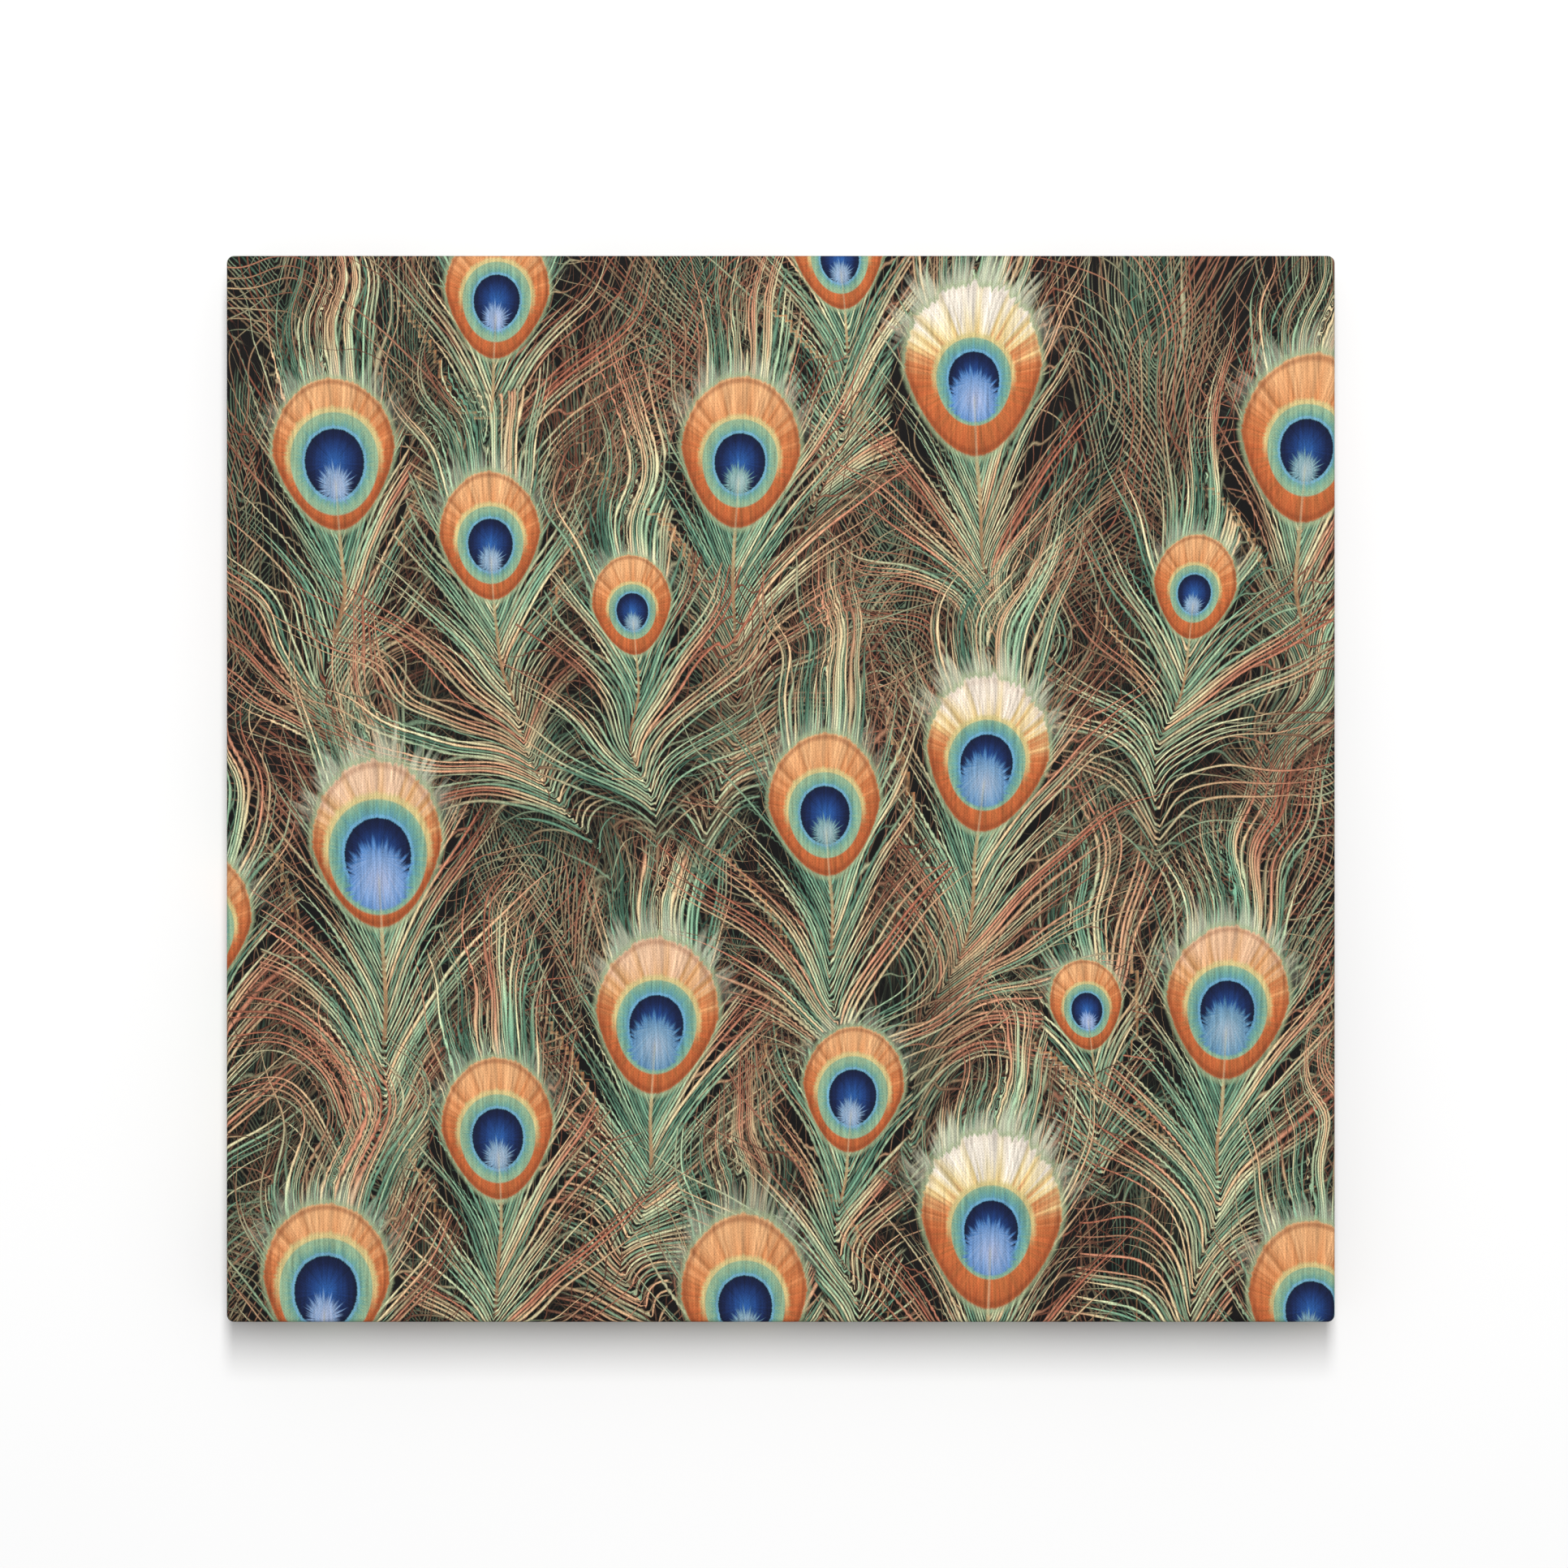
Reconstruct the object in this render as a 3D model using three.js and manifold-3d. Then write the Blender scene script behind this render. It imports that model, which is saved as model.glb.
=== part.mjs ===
// A stretched canvas print: one piece of printed canvas pulled over four mitred stretcher bars,
// folded to the back and stapled there, with a sawtooth hanger nailed to the top bar.
//
// Millimetres, +Z up. The face looks along -Y and the back faces the wall at +Y.
// The origin is the middle notch of the hanger, where the wall nail carries the panel.
//
// Everything is laid out in the panel's own frame and turned upright by one group:
// x to the right, y up, z from the back (0) towards the face (DEPTH), centred in x and y.

import * as THREE from "three";
import { mergeVertices } from "three/addons/utils/BufferGeometryUtils.js";
import Module from "manifold-3d";

const wasm = await Module();
wasm.setup();

// The panel
const WIDTH = 305;
const HEIGHT = 293.5;
const DEPTH = 19;
const TOUCH = 0.3; // room left between pieces that touch
const ARC = 6; // segments in a quarter turn

// The canvas
const CLOTH = 0.5; // thickness of canvas and print
const CORNER_RADIUS = 2;
const EDGE_RADIUS = 1.2;
const BACK_MARGIN = 27; // width of the folded-over margin on the back

// The stretcher bars
const BAR_WIDTH = 36;
const LIP_WIDTH = 5; // the raised bead that lifts the canvas off the rest of the bar
const LIP_HEIGHT = 2.4;
const BAR_FALL = 1; // how much the bar's face falls away behind the bead
const BAR_ROUND = 1;
const BAR_INSET = CLOTH + TOUCH;
const BAR_DEPTH = DEPTH - 2 * BAR_INSET;
const FRAME_WIDTH = WIDTH - 2 * BAR_INSET;
const FRAME_HEIGHT = HEIGHT - 2 * BAR_INSET;

// The staples
const STAPLES_PER_SIDE = 6;
const STAPLE_CROWN = 10.6;
const STAPLE_LEG = 8;
const WIRE_THICK = 0.5;
const WIRE_WIDE = 1.2;
const CROWN_LIFT = 0.15; // crown above the canvas
const STAPLE_INSET = 14; // from the panel's outside
const END_INSET = 34; // first staple of a side, from the corner
const CORNER_STAPLE_INSET = 15;
const STAPLE_LEANS = [6, -9, 3, 11, -5, 8, -12, 4]; // degrees, as a staple gun leaves them

// The hanger
const HANGER_LENGTH = 36;
const HANGER_HEIGHT = 8;
const HANGER_THICK = 0.9;
const HANGER_BOW = 2.2; // how far the middle stands off the back
const HANGER_DROP = 17; // top of the panel to the notches
const BOW_FLAT = 9; // half length of the raised middle
const BOW_FOOT = 12; // where the flat feet start
const TEETH = 7;
const TOOTH_PITCH = 2;
const TOOTH_DEPTH = 1.3;
const NAIL_AT = 15;
const NAIL_RADIUS = 0.8;
const NAIL_HEAD_RADIUS = 1.9;
const NAIL_HEAD = 0.7;
const NAIL_LENGTH = 9;

// Colours and finishes
const CANVAS_FINISH = { color: 0x7d8266, roughness: 0.85, metalness: 0 };
const PINE_FINISH = { color: 0xd9b98a, roughness: 0.7, metalness: 0 };
const STEEL_FINISH = { color: 0xb9bcc0, roughness: 0.35, metalness: 1 };
const BRASSED_FINISH = { color: 0xc9a35a, roughness: 0.35, metalness: 1 };

function solidOf(geometry) {
  const bare = geometry.clone();
  bare.deleteAttribute("normal");
  bare.deleteAttribute("uv");
  const merged = mergeVertices(bare, 1e-4);
  const vertProperties = new Float32Array(merged.attributes.position.array);
  const triVerts = new Uint32Array(merged.index.array);
  return new wasm.Manifold(new wasm.Mesh({ numProp: 3, vertProperties, triVerts }));
}

function geometryOf(solid) {
  const mesh = solid.getMesh();
  const geometry = new THREE.BufferGeometry();
  geometry.setAttribute("position", new THREE.BufferAttribute(mesh.vertProperties, 3));
  geometry.setIndex(new THREE.BufferAttribute(mesh.triVerts, 1));
  geometry.computeVertexNormals();
  return geometry;
}

function piece(name, geometry, finish) {
  const mesh = new THREE.Mesh(geometry, new THREE.MeshStandardMaterial(finish));
  mesh.name = name;
  return mesh;
}

function roundedRectangle(width, height, radius) {
  const x = width / 2 - radius;
  const y = height / 2 - radius;
  const shape = new THREE.Shape();
  shape.absarc(x, y, radius, 0, Math.PI / 2);
  shape.absarc(-x, y, radius, Math.PI / 2, Math.PI);
  shape.absarc(-x, -y, radius, Math.PI, 1.5 * Math.PI);
  shape.absarc(x, -y, radius, 1.5 * Math.PI, 2 * Math.PI);
  return shape;
}

// A slab with rounded corners and rounded rims, from z = low to z = high.
function roundedSlab(width, height, radius, rim, low, high) {
  const slab = new THREE.ExtrudeGeometry(roundedRectangle(width, height, radius), {
    depth: high - low - 2 * rim,
    bevelThickness: rim,
    bevelSize: rim,
    bevelOffset: -rim,
    bevelSegments: 3,
    curveSegments: ARC,
  });
  return slab.translate(0, 0, low + rim);
}

function box(width, height, depth, x, y, z) {
  return new THREE.BoxGeometry(width, height, depth).translate(x, y, z);
}

// An outline drawn in (u, v), extruded and laid along the given axes.
function extrudeAlong(shape, length, uAxis, vAxis) {
  const along = new THREE.Vector3().crossVectors(uAxis, vAxis);
  const solid = new THREE.ExtrudeGeometry(shape, {
    depth: length,
    bevelEnabled: false,
    curveSegments: ARC,
  });
  solid.translate(0, 0, -length / 2);
  return solid.applyMatrix4(new THREE.Matrix4().makeBasis(uAxis, vAxis, along));
}

const RIGHT = new THREE.Vector3(1, 0, 0);
const DOWN = new THREE.Vector3(0, -1, 0);
const FORWARD = new THREE.Vector3(0, 0, 1);

// The bar's section: u from the outer side inwards, v from the back to the face.
function barSection() {
  const front = BAR_DEPTH;
  const shelf = front - LIP_HEIGHT;
  const inner = shelf - BAR_FALL;
  const section = new THREE.Shape();
  section.moveTo(BAR_ROUND, 0);
  section.lineTo(BAR_WIDTH - BAR_ROUND, 0);
  section.absarc(BAR_WIDTH - BAR_ROUND, BAR_ROUND, BAR_ROUND, -Math.PI / 2, 0);
  section.absarc(BAR_WIDTH - BAR_ROUND, inner - BAR_ROUND, BAR_ROUND, 0, Math.PI / 2);
  section.lineTo(LIP_WIDTH + LIP_HEIGHT, shelf);
  section.quadraticCurveTo(LIP_WIDTH + 0.4, shelf, LIP_WIDTH, front - BAR_ROUND);
  section.quadraticCurveTo(LIP_WIDTH, front, LIP_WIDTH - BAR_ROUND, front);
  section.lineTo(EDGE_RADIUS, front);
  section.absarc(EDGE_RADIUS, front - EDGE_RADIUS, EDGE_RADIUS, Math.PI / 2, Math.PI);
  section.absarc(BAR_ROUND, BAR_ROUND, BAR_ROUND, Math.PI, 1.5 * Math.PI);
  return section;
}

// A bar lying along x with its outer side at y = outside, cut to 45 degrees at both ends.
function mitredBar(length, outside) {
  const bar = extrudeAlong(barSection(), length + 1, DOWN, FORWARD);
  bar.translate(0, outside, BAR_INSET);
  const end = length / 2 - TOUCH / Math.SQRT2;
  const plan = new THREE.Shape();
  plan.moveTo(-end - 1, outside + 1);
  plan.lineTo(-end + BAR_WIDTH + 1, outside - BAR_WIDTH - 1);
  plan.lineTo(end - BAR_WIDTH - 1, outside - BAR_WIDTH - 1);
  plan.lineTo(end + 1, outside + 1);
  const mitre = new THREE.ExtrudeGeometry(plan, { depth: DEPTH, bevelEnabled: false });
  return solidOf(bar).intersect(solidOf(mitre));
}

// The four sides, each seen with the bar lying on top and turned into place.
const SIDES = [
  { name: "top", turn: 0, length: FRAME_WIDTH, outside: FRAME_HEIGHT / 2 },
  { name: "left", turn: Math.PI / 2, length: FRAME_HEIGHT, outside: FRAME_WIDTH / 2 },
  { name: "bottom", turn: Math.PI, length: FRAME_WIDTH, outside: FRAME_HEIGHT / 2 },
  { name: "right", turn: -Math.PI / 2, length: FRAME_HEIGHT, outside: FRAME_WIDTH / 2 },
];

// A place on the back: rotation in the panel's plane, then the point it turns about.
function placeOn(turn, x, y, lean) {
  const side = new THREE.Matrix4().makeRotationZ(turn);
  const spot = new THREE.Matrix4().makeTranslation(x, y, 0);
  const tilt = new THREE.Matrix4().makeRotationZ(THREE.MathUtils.degToRad(lean));
  return side.multiply(spot).multiply(tilt);
}

function staplePlaces() {
  const places = [];
  for (const side of SIDES) {
    const reach = side.length / 2 + BAR_INSET - END_INSET;
    const row = side.outside + BAR_INSET - STAPLE_INSET;
    for (let i = 0; i < STAPLES_PER_SIDE; i++) {
      const x = -reach + (2 * reach * i) / (STAPLES_PER_SIDE - 1);
      const lean = STAPLE_LEANS[places.length % STAPLE_LEANS.length];
      places.push(placeOn(side.turn, x, row, lean));
    }
    // one more across the folded corner at the left-hand end of the bar
    const corner = side.length / 2 + BAR_INSET - CORNER_STAPLE_INSET;
    const cornerRow = side.outside + BAR_INSET - CORNER_STAPLE_INSET;
    places.push(placeOn(side.turn, -corner, cornerRow, 45));
  }
  return places;
}

// A staple at the origin: the crown along x behind the canvas, the legs going in along +z.
function stapleGeometry() {
  const half = STAPLE_CROWN / 2;
  const tip = WIRE_THICK + STAPLE_LEG;
  const outline = new THREE.Shape();
  outline.moveTo(-half + WIRE_THICK, 0);
  outline.lineTo(half - WIRE_THICK, 0);
  outline.absarc(half - WIRE_THICK, WIRE_THICK, WIRE_THICK, -Math.PI / 2, 0);
  outline.lineTo(half, tip);
  outline.lineTo(half - WIRE_THICK, tip - 1);
  outline.lineTo(half - WIRE_THICK, WIRE_THICK);
  outline.lineTo(-half + WIRE_THICK, WIRE_THICK);
  outline.lineTo(-half + WIRE_THICK, tip - 1);
  outline.lineTo(-half, tip);
  outline.absarc(-half + WIRE_THICK, WIRE_THICK, WIRE_THICK, Math.PI, 1.5 * Math.PI);
  const staple = new THREE.ExtrudeGeometry(outline, {
    depth: WIRE_WIDE,
    bevelEnabled: false,
    curveSegments: 2,
  });
  staple.translate(0, 0, -WIRE_WIDE / 2);
  staple.applyMatrix4(new THREE.Matrix4().makeBasis(RIGHT, FORWARD, DOWN));
  return staple.translate(0, 0, -CROWN_LIFT - WIRE_THICK);
}

// The two slits that a staple's legs go into.
function stapleSlits(place) {
  const legAt = (STAPLE_CROWN - WIRE_THICK) / 2;
  const depth = STAPLE_LEG + 2;
  const slit = box(WIRE_THICK + 2 * TOUCH, WIRE_WIDE + 2 * TOUCH, depth, 0, 0, depth / 2 - 1);
  const left = slit.clone().translate(-legAt, 0, 0).applyMatrix4(place);
  const right = slit.clone().translate(legAt, 0, 0).applyMatrix4(place);
  return solidOf(left).add(solidOf(right));
}

// The hanger: a steel strip with two flat feet and a raised, toothed middle.
function hangerGeometry() {
  const foot = CROWN_LIFT;
  const raised = foot + HANGER_BOW;
  const half = HANGER_LENGTH / 2;
  const face = [
    [-half, foot],
    [-BOW_FOOT, foot],
    [-BOW_FLAT, raised],
    [BOW_FLAT, raised],
    [BOW_FOOT, foot],
    [half, foot],
  ];
  const back = face.map(([x, z]) => [x, z + HANGER_THICK]).reverse();
  const section = new THREE.Shape([...face, ...back].map(([x, z]) => new THREE.Vector2(x, -z)));
  const strip = new THREE.ExtrudeGeometry(section, { depth: HANGER_HEIGHT, bevelEnabled: false });
  strip.translate(0, 0, -HANGER_HEIGHT / 2);
  strip.applyMatrix4(new THREE.Matrix4().makeBasis(RIGHT, FORWARD, DOWN));

  const ends = new THREE.ExtrudeGeometry(
    roundedRectangle(HANGER_LENGTH, HANGER_HEIGHT, HANGER_HEIGHT / 2 - 0.01),
    { depth: 3 * HANGER_BOW, bevelEnabled: false, curveSegments: ARC },
  ).translate(0, 0, -3 * HANGER_BOW);
  let hanger = solidOf(strip).intersect(solidOf(ends));

  const lowEdge = -HANGER_HEIGHT / 2;
  for (let i = 0; i < TEETH; i++) {
    const x = (i - (TEETH - 1) / 2) * TOOTH_PITCH;
    const notch = new THREE.Shape();
    notch.moveTo(x - TOOTH_PITCH / 2 + 0.1, lowEdge - 0.2);
    notch.lineTo(x + TOOTH_PITCH / 2 - 0.1, lowEdge - 0.2);
    notch.lineTo(x, lowEdge + TOOTH_DEPTH);
    const cut = new THREE.ExtrudeGeometry(notch, { depth: 3 * HANGER_BOW, bevelEnabled: false });
    hanger = hanger.subtract(solidOf(cut.translate(0, 0, -3 * HANGER_BOW)));
  }
  return geometryOf(hanger.subtract(nailHole(-NAIL_AT, 0)).subtract(nailHole(NAIL_AT, 0)));
}

function nailHole(x, y) {
  const length = NAIL_LENGTH + 4;
  const hole = new THREE.CylinderGeometry(NAIL_RADIUS + TOUCH, NAIL_RADIUS + TOUCH, length, 16);
  return solidOf(hole.rotateX(Math.PI / 2).translate(x, y, length / 2 - 3));
}

// A nail with its shank going in along +z and its domed head behind the hanger's foot.
function nailGeometry() {
  const headFace = -CROWN_LIFT - HANGER_THICK - 0.1;
  const profile = [
    [0, NAIL_LENGTH + headFace],
    [NAIL_RADIUS, NAIL_LENGTH + headFace - 2],
    [NAIL_RADIUS, headFace],
    [NAIL_HEAD_RADIUS, headFace],
    [NAIL_HEAD_RADIUS * 0.85, headFace - NAIL_HEAD * 0.6],
    [NAIL_HEAD_RADIUS * 0.45, headFace - NAIL_HEAD * 0.95],
    [0, headFace - NAIL_HEAD],
  ].map(([radius, along]) => new THREE.Vector2(radius, -along));
  return new THREE.LatheGeometry(profile, 16).rotateX(-Math.PI / 2);
}

const hangerY = HEIGHT / 2 - HANGER_DROP + HANGER_HEIGHT / 2 - TOOTH_DEPTH;
const places = staplePlaces();

// Everything that the staples and nails cut through, in the canvas and in the bars.
let cuts = nailHole(-NAIL_AT, hangerY).add(nailHole(NAIL_AT, hangerY));
for (const place of places) cuts = cuts.add(stapleSlits(place));

// The canvas: a shallow tray round the frame, with its margins turned over on the back.
function canvasGeometry() {
  const outside = roundedSlab(WIDTH, HEIGHT, CORNER_RADIUS, EDGE_RADIUS, 0, DEPTH);
  const inside = roundedSlab(
    WIDTH - 2 * CLOTH,
    HEIGHT - 2 * CLOTH,
    CORNER_RADIUS - CLOTH,
    EDGE_RADIUS - CLOTH,
    CLOTH,
    DEPTH - CLOTH,
  );
  const window = box(WIDTH - 2 * BACK_MARGIN, HEIGHT - 2 * BACK_MARGIN, 4 * CLOTH, 0, 0, 0);
  return solidOf(outside).subtract(solidOf(inside)).subtract(solidOf(window)).subtract(cuts);
}

const panel = new THREE.Group();
panel.add(piece("canvas", geometryOf(canvasGeometry()), CANVAS_FINISH));

// The frame's four outer corners are eased, so that the canvas turns round them.
const frameCorner = CORNER_RADIUS - CLOTH;
const frameBlock = solidOf(
  roundedSlab(FRAME_WIDTH, FRAME_HEIGHT, frameCorner, BAR_ROUND / 2, BAR_INSET, DEPTH - BAR_INSET),
);
for (const side of SIDES) {
  const turn = THREE.MathUtils.radToDeg(side.turn);
  const turned = mitredBar(side.length, side.outside).rotate([0, 0, turn]);
  const bar = turned.intersect(frameBlock).subtract(cuts);
  panel.add(piece(`stretcher_bar_${side.name}`, geometryOf(bar), PINE_FINISH));
}

places.forEach((place, i) => {
  const staple = piece(`staple_${String(i + 1).padStart(2, "0")}`, stapleGeometry(), STEEL_FINISH);
  staple.applyMatrix4(place);
  panel.add(staple);
});

const hanger = new THREE.Group();
hanger.position.y = hangerY;
hanger.add(piece("sawtooth_hanger", hangerGeometry(), BRASSED_FINISH));
for (const [name, x] of [["left", -NAIL_AT], ["right", NAIL_AT]]) {
  const nail = piece(`hanger_nail_${name}`, nailGeometry(), BRASSED_FINISH);
  nail.position.x = x;
  hanger.add(nail);
}
panel.add(hanger);

// Upright, with the hanger's middle notch at the origin and in the strip's mid plane.
panel.rotation.x = Math.PI / 2;
panel.position.y = -(CROWN_LIFT + HANGER_BOW + HANGER_THICK / 2);
panel.position.z = -(HEIGHT / 2 - HANGER_DROP);

const root = new THREE.Group();
root.add(panel);

export default root;
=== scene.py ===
import math

import bpy
import numpy as np
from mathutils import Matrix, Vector


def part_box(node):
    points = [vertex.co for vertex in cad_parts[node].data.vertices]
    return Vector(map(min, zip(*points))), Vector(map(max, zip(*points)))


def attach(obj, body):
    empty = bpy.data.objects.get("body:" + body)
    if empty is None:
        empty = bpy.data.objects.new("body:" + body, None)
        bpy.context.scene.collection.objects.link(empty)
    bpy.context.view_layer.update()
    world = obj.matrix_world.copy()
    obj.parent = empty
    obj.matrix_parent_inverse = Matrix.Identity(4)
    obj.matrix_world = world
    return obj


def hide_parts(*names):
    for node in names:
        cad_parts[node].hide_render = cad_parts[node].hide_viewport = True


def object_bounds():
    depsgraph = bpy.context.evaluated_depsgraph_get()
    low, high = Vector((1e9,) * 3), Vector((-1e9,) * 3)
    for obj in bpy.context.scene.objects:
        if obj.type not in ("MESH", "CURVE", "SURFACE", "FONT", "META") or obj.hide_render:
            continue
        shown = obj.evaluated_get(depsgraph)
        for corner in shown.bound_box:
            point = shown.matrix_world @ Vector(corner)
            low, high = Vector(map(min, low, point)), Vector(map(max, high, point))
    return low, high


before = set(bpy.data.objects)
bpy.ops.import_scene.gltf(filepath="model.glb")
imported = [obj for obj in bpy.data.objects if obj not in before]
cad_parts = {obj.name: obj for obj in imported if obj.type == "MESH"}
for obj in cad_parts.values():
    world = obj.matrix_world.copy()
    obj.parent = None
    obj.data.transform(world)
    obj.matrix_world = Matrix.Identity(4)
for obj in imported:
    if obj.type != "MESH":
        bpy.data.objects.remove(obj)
cad_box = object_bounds()

# A stretched canvas print. Lengths are in millimetres until a mesh is made, which is in metres.
# The panel's own frame is the one it is laid out in: x to the right and y up from the middle of
# the face, z from the back (0) towards the face. to_frame() stands it up in the row frame.
MM = 0.001

PANEL_LOW, PANEL_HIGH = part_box("canvas")
WIDTH = (PANEL_HIGH.x - PANEL_LOW.x) / MM
HEIGHT = (PANEL_HIGH.z - PANEL_LOW.z) / MM
DEPTH = (PANEL_HIGH.y - PANEL_LOW.y) / MM
BACK_Y = PANEL_HIGH.y / MM
MIDDLE_X = (PANEL_HIGH.x + PANEL_LOW.x) / 2 / MM
MIDDLE_Z = (PANEL_HIGH.z + PANEL_LOW.z) / 2 / MM

# The canvas
CLOTH = 0.5  # thickness of canvas and print
CORNER_RADIUS = 2.0
EDGE_RADIUS = 1.2
BACK_MARGIN = 27.0  # cloth turned over on the back
TURNED = DEPTH + BACK_MARGIN  # cloth beyond the face, on each side
FACE_STEP = 1.4  # spacing of the face's grid
CORNER_STEPS = 5
ARC_STEPS = 3  # round the face's and the back's edge
SIDE_STEPS = 11
MARGIN_ROWS = 11
FIRST_MARGIN_ROW = 4.2  # from the edge of the back

# The staples
STAPLES_PER_SIDE = 6
STAPLE_LEANS = [6, -9, 3, 11, -5, 8, -12, 4]  # degrees, as a staple gun leaves them
STAPLE_CROWN = 10.6
STAPLE_LEG = 8.0
WIRE_THICK = 0.5
WIRE_WIDE = 1.2
WIRE_BEND = 0.9


def to_frame(x, y, z):
    """Panel coordinates in millimetres to the row frame in metres."""
    return np.stack([x + MIDDLE_X, BACK_Y - z, y + MIDDLE_Z], -1) * MM


def smooth(value, low, high):
    share = np.clip((value - low) / (high - low), 0, 1)
    return share * share * (3 - 2 * share)


def mix(a, b, share):
    return a + (b - a) * share


# ---------------------------------------------------------------------------
# The print: where the feathers lie, and how their barbs flow
# ---------------------------------------------------------------------------

# Feathers with an eye: x, y, half width, lean in degrees, how pale the top is (0 to 1),
# size of the blue core, and its fan's colour from teal (0) to blue (1).
FEATHERS = [
    (-78, 137, 14.5, 3, 0.1, 0.62, 0.9),
    (16, 148, 12.5, -6, 0.1, 0.60, 0.7),
    (53, 116, 19.0, -2, 1.0, 0.52, 1.0),
    (145, 97, 18.5, 5, 0.3, 0.56, 0.2),
    (-123, 93, 17.0, -4, 0.2, 0.68, 0.8),
    (-11, 93, 16.5, 4, 0.4, 0.60, 0.0),
    (-80, 70, 14.0, -3, 0.2, 0.62, 0.6),
    (114, 56, 11.5, 6, 0.2, 0.56, 0.6),
    (-41, 51, 11.0, -5, 0.1, 0.56, 0.4),
    (57, 10, 17.0, 7, 0.9, 0.60, 0.7),
    (12, -4, 15.5, -4, 0.1, 0.62, 0.1),
    (-111, -15, 18.0, -3, 0.7, 0.72, 1.0),
    (-34, -62, 17.0, 4, 0.68, 0.62, 0.6),
    (84, -59, 10.0, -7, 0.1, 0.60, 1.0),
    (123, -58, 17.0, 3, 0.66, 0.62, 0.5),
    (20, -82, 14.0, 5, 0.1, 0.66, 0.7),
    (-78, -93, 15.5, -3, 0.1, 0.64, 0.6),
    (58, -118, 19.5, 2, 1.0, 0.54, 1.0),
    (-125, -135, 17.5, 3, 0.2, 0.70, 0.9),
    (-10, -139, 17.5, -4, 0.3, 0.60, 0.4),
    (146, -140, 17.5, 4, 0.4, 0.56, 0.3),
    (-160, -36, 14.5, 2, 0.2, 0.64, 0.5),
]
# Loose plumes under them, in two layers: x, y, half width, lean in degrees.
TUFTS = [
    [
        (-140, 150, 16, -12), (-45, 105, 15, 14), (30, 70, 18, -10), (100, 130, 16, 18),
        (150, 20, 16, -16), (80, -20, 17, 12), (-55, 5, 17, -14), (-150, 20, 15, 14),
        (-60, -130, 16, 16), (20, -40, 16, -18), (100, -100, 17, -12), (-140, -80, 15, 16),
        (150, -90, 15, 14), (-88, -46, 16, 8), (28, -140, 16, -8), (-18, -112, 15, -12),
        (-72, 12, 17, 10), (60, -48, 17, -8), (36, -108, 16, 10), (-146, 96, 17, 8),
    ],
    [
        (-100, 120, 16, 16), (-20, 140, 16, -16), (70, 60, 15, 20), (150, 120, 15, -14),
        (-60, 85, 15, -18), (10, 30, 17, 16), (115, 5, 16, -18), (-95, 25, 16, 18),
        (-150, -60, 16, -14), (-70, -50, 16, -16), (50, -60, 16, 18), (0, -110, 16, 16),
        (100, -140, 16, 14), (-100, -140, 16, -14), (-12, -44, 16, 4), (-14, 26, 17, -6),
        (96, 24, 17, 8), (104, 116, 17, -8), (-36, -114, 16, -8), (-70, 2, 17, -12),
    ],
]
STRAY_LEANS = [34, -38]  # degrees, of the long barbs that cross the gaps
LAYERS = 6  # feathers whose barbs may cross are printed in different layers
CLEAR_OF_EACH_OTHER = 115  # millimetres between two feathers of one layer
UPRIGHT = 1.4  # feathers are longer than wide, so gaps up and down count for less
TUFT_SEED, STRAY_SEED = 300, 500
FEATHER_FLOW = 0.66  # how strongly barbs leave the eye sideways
TUFT_FLOW = 0.12
NO_STRAND = 200.0  # a place on the barb where nothing is drawn
ROOMY = 24.0  # room round a barb that never ends it
BARE = 0.1  # side of the shaft, kept beside how dense the vane is

# An eye is an egg with its narrow end down, in half widths from its middle.
EYE_TOP, EYE_FOOT = 1.22, 1.3
EYE_TAPER = 0.20
EYE_NARROWS_TO = -1.5
CORE_DROP = 0.20


def wander(x, y, pitch, seed, waves=4):
    """A slow seeded wave over the cloth, about -1 to 1."""
    rng = np.random.default_rng(seed)
    total = 0
    for _ in range(waves):
        angle = rng.uniform(0, 2 * math.pi)
        turns = 2 * math.pi / (pitch * rng.uniform(0.7, 1.5))
        along = x * math.cos(angle) + y * math.sin(angle)
        total = total + np.sin(turns * along + rng.uniform(0, 7))
    return total / math.sqrt(2 * waves)


def on_feather(x, y, fx, fy, half, lean):
    """Cloth coordinates to a feather's own, in half widths from the middle of its eye."""
    c, s = math.cos(math.radians(lean)), math.sin(math.radians(lean))
    dx, dy = x - fx, y - fy
    return (c * dx - s * dy) / half, (s * dx + c * dy) / half


def shaft_spread(x, y, low, high):
    """Stream lines that leave a shaft evenly between low and high."""

    def part(u):
        return u * np.arctan2(x, u) + 0.5 * x * np.log(x * x + u * u + 1e-6)

    return part(y - low) - part(y - high)


def drifting(x, y, feather, seed):
    """A feather's own coordinates, which wander more the farther they are from its eye."""
    ex, ey = on_feather(x, y, *feather[:4])
    loose = smooth(np.hypot(ex, ey + 0.5), 1.1, 3.6)
    ex = ex + loose * (0.48 * wander(x, y, 62, 40 + seed) + 0.08 * wander(x, y, 26, 140 + seed))
    ey = ey + loose * (0.40 * wander(x, y, 62, 70 + seed) + 0.07 * wander(x, y, 26, 170 + seed))
    bend = np.random.default_rng(700 + seed).uniform(-0.05, 0.05)
    return ex + bend * np.maximum(-ey - 1.0, 0) ** 2, ey, loose


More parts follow.
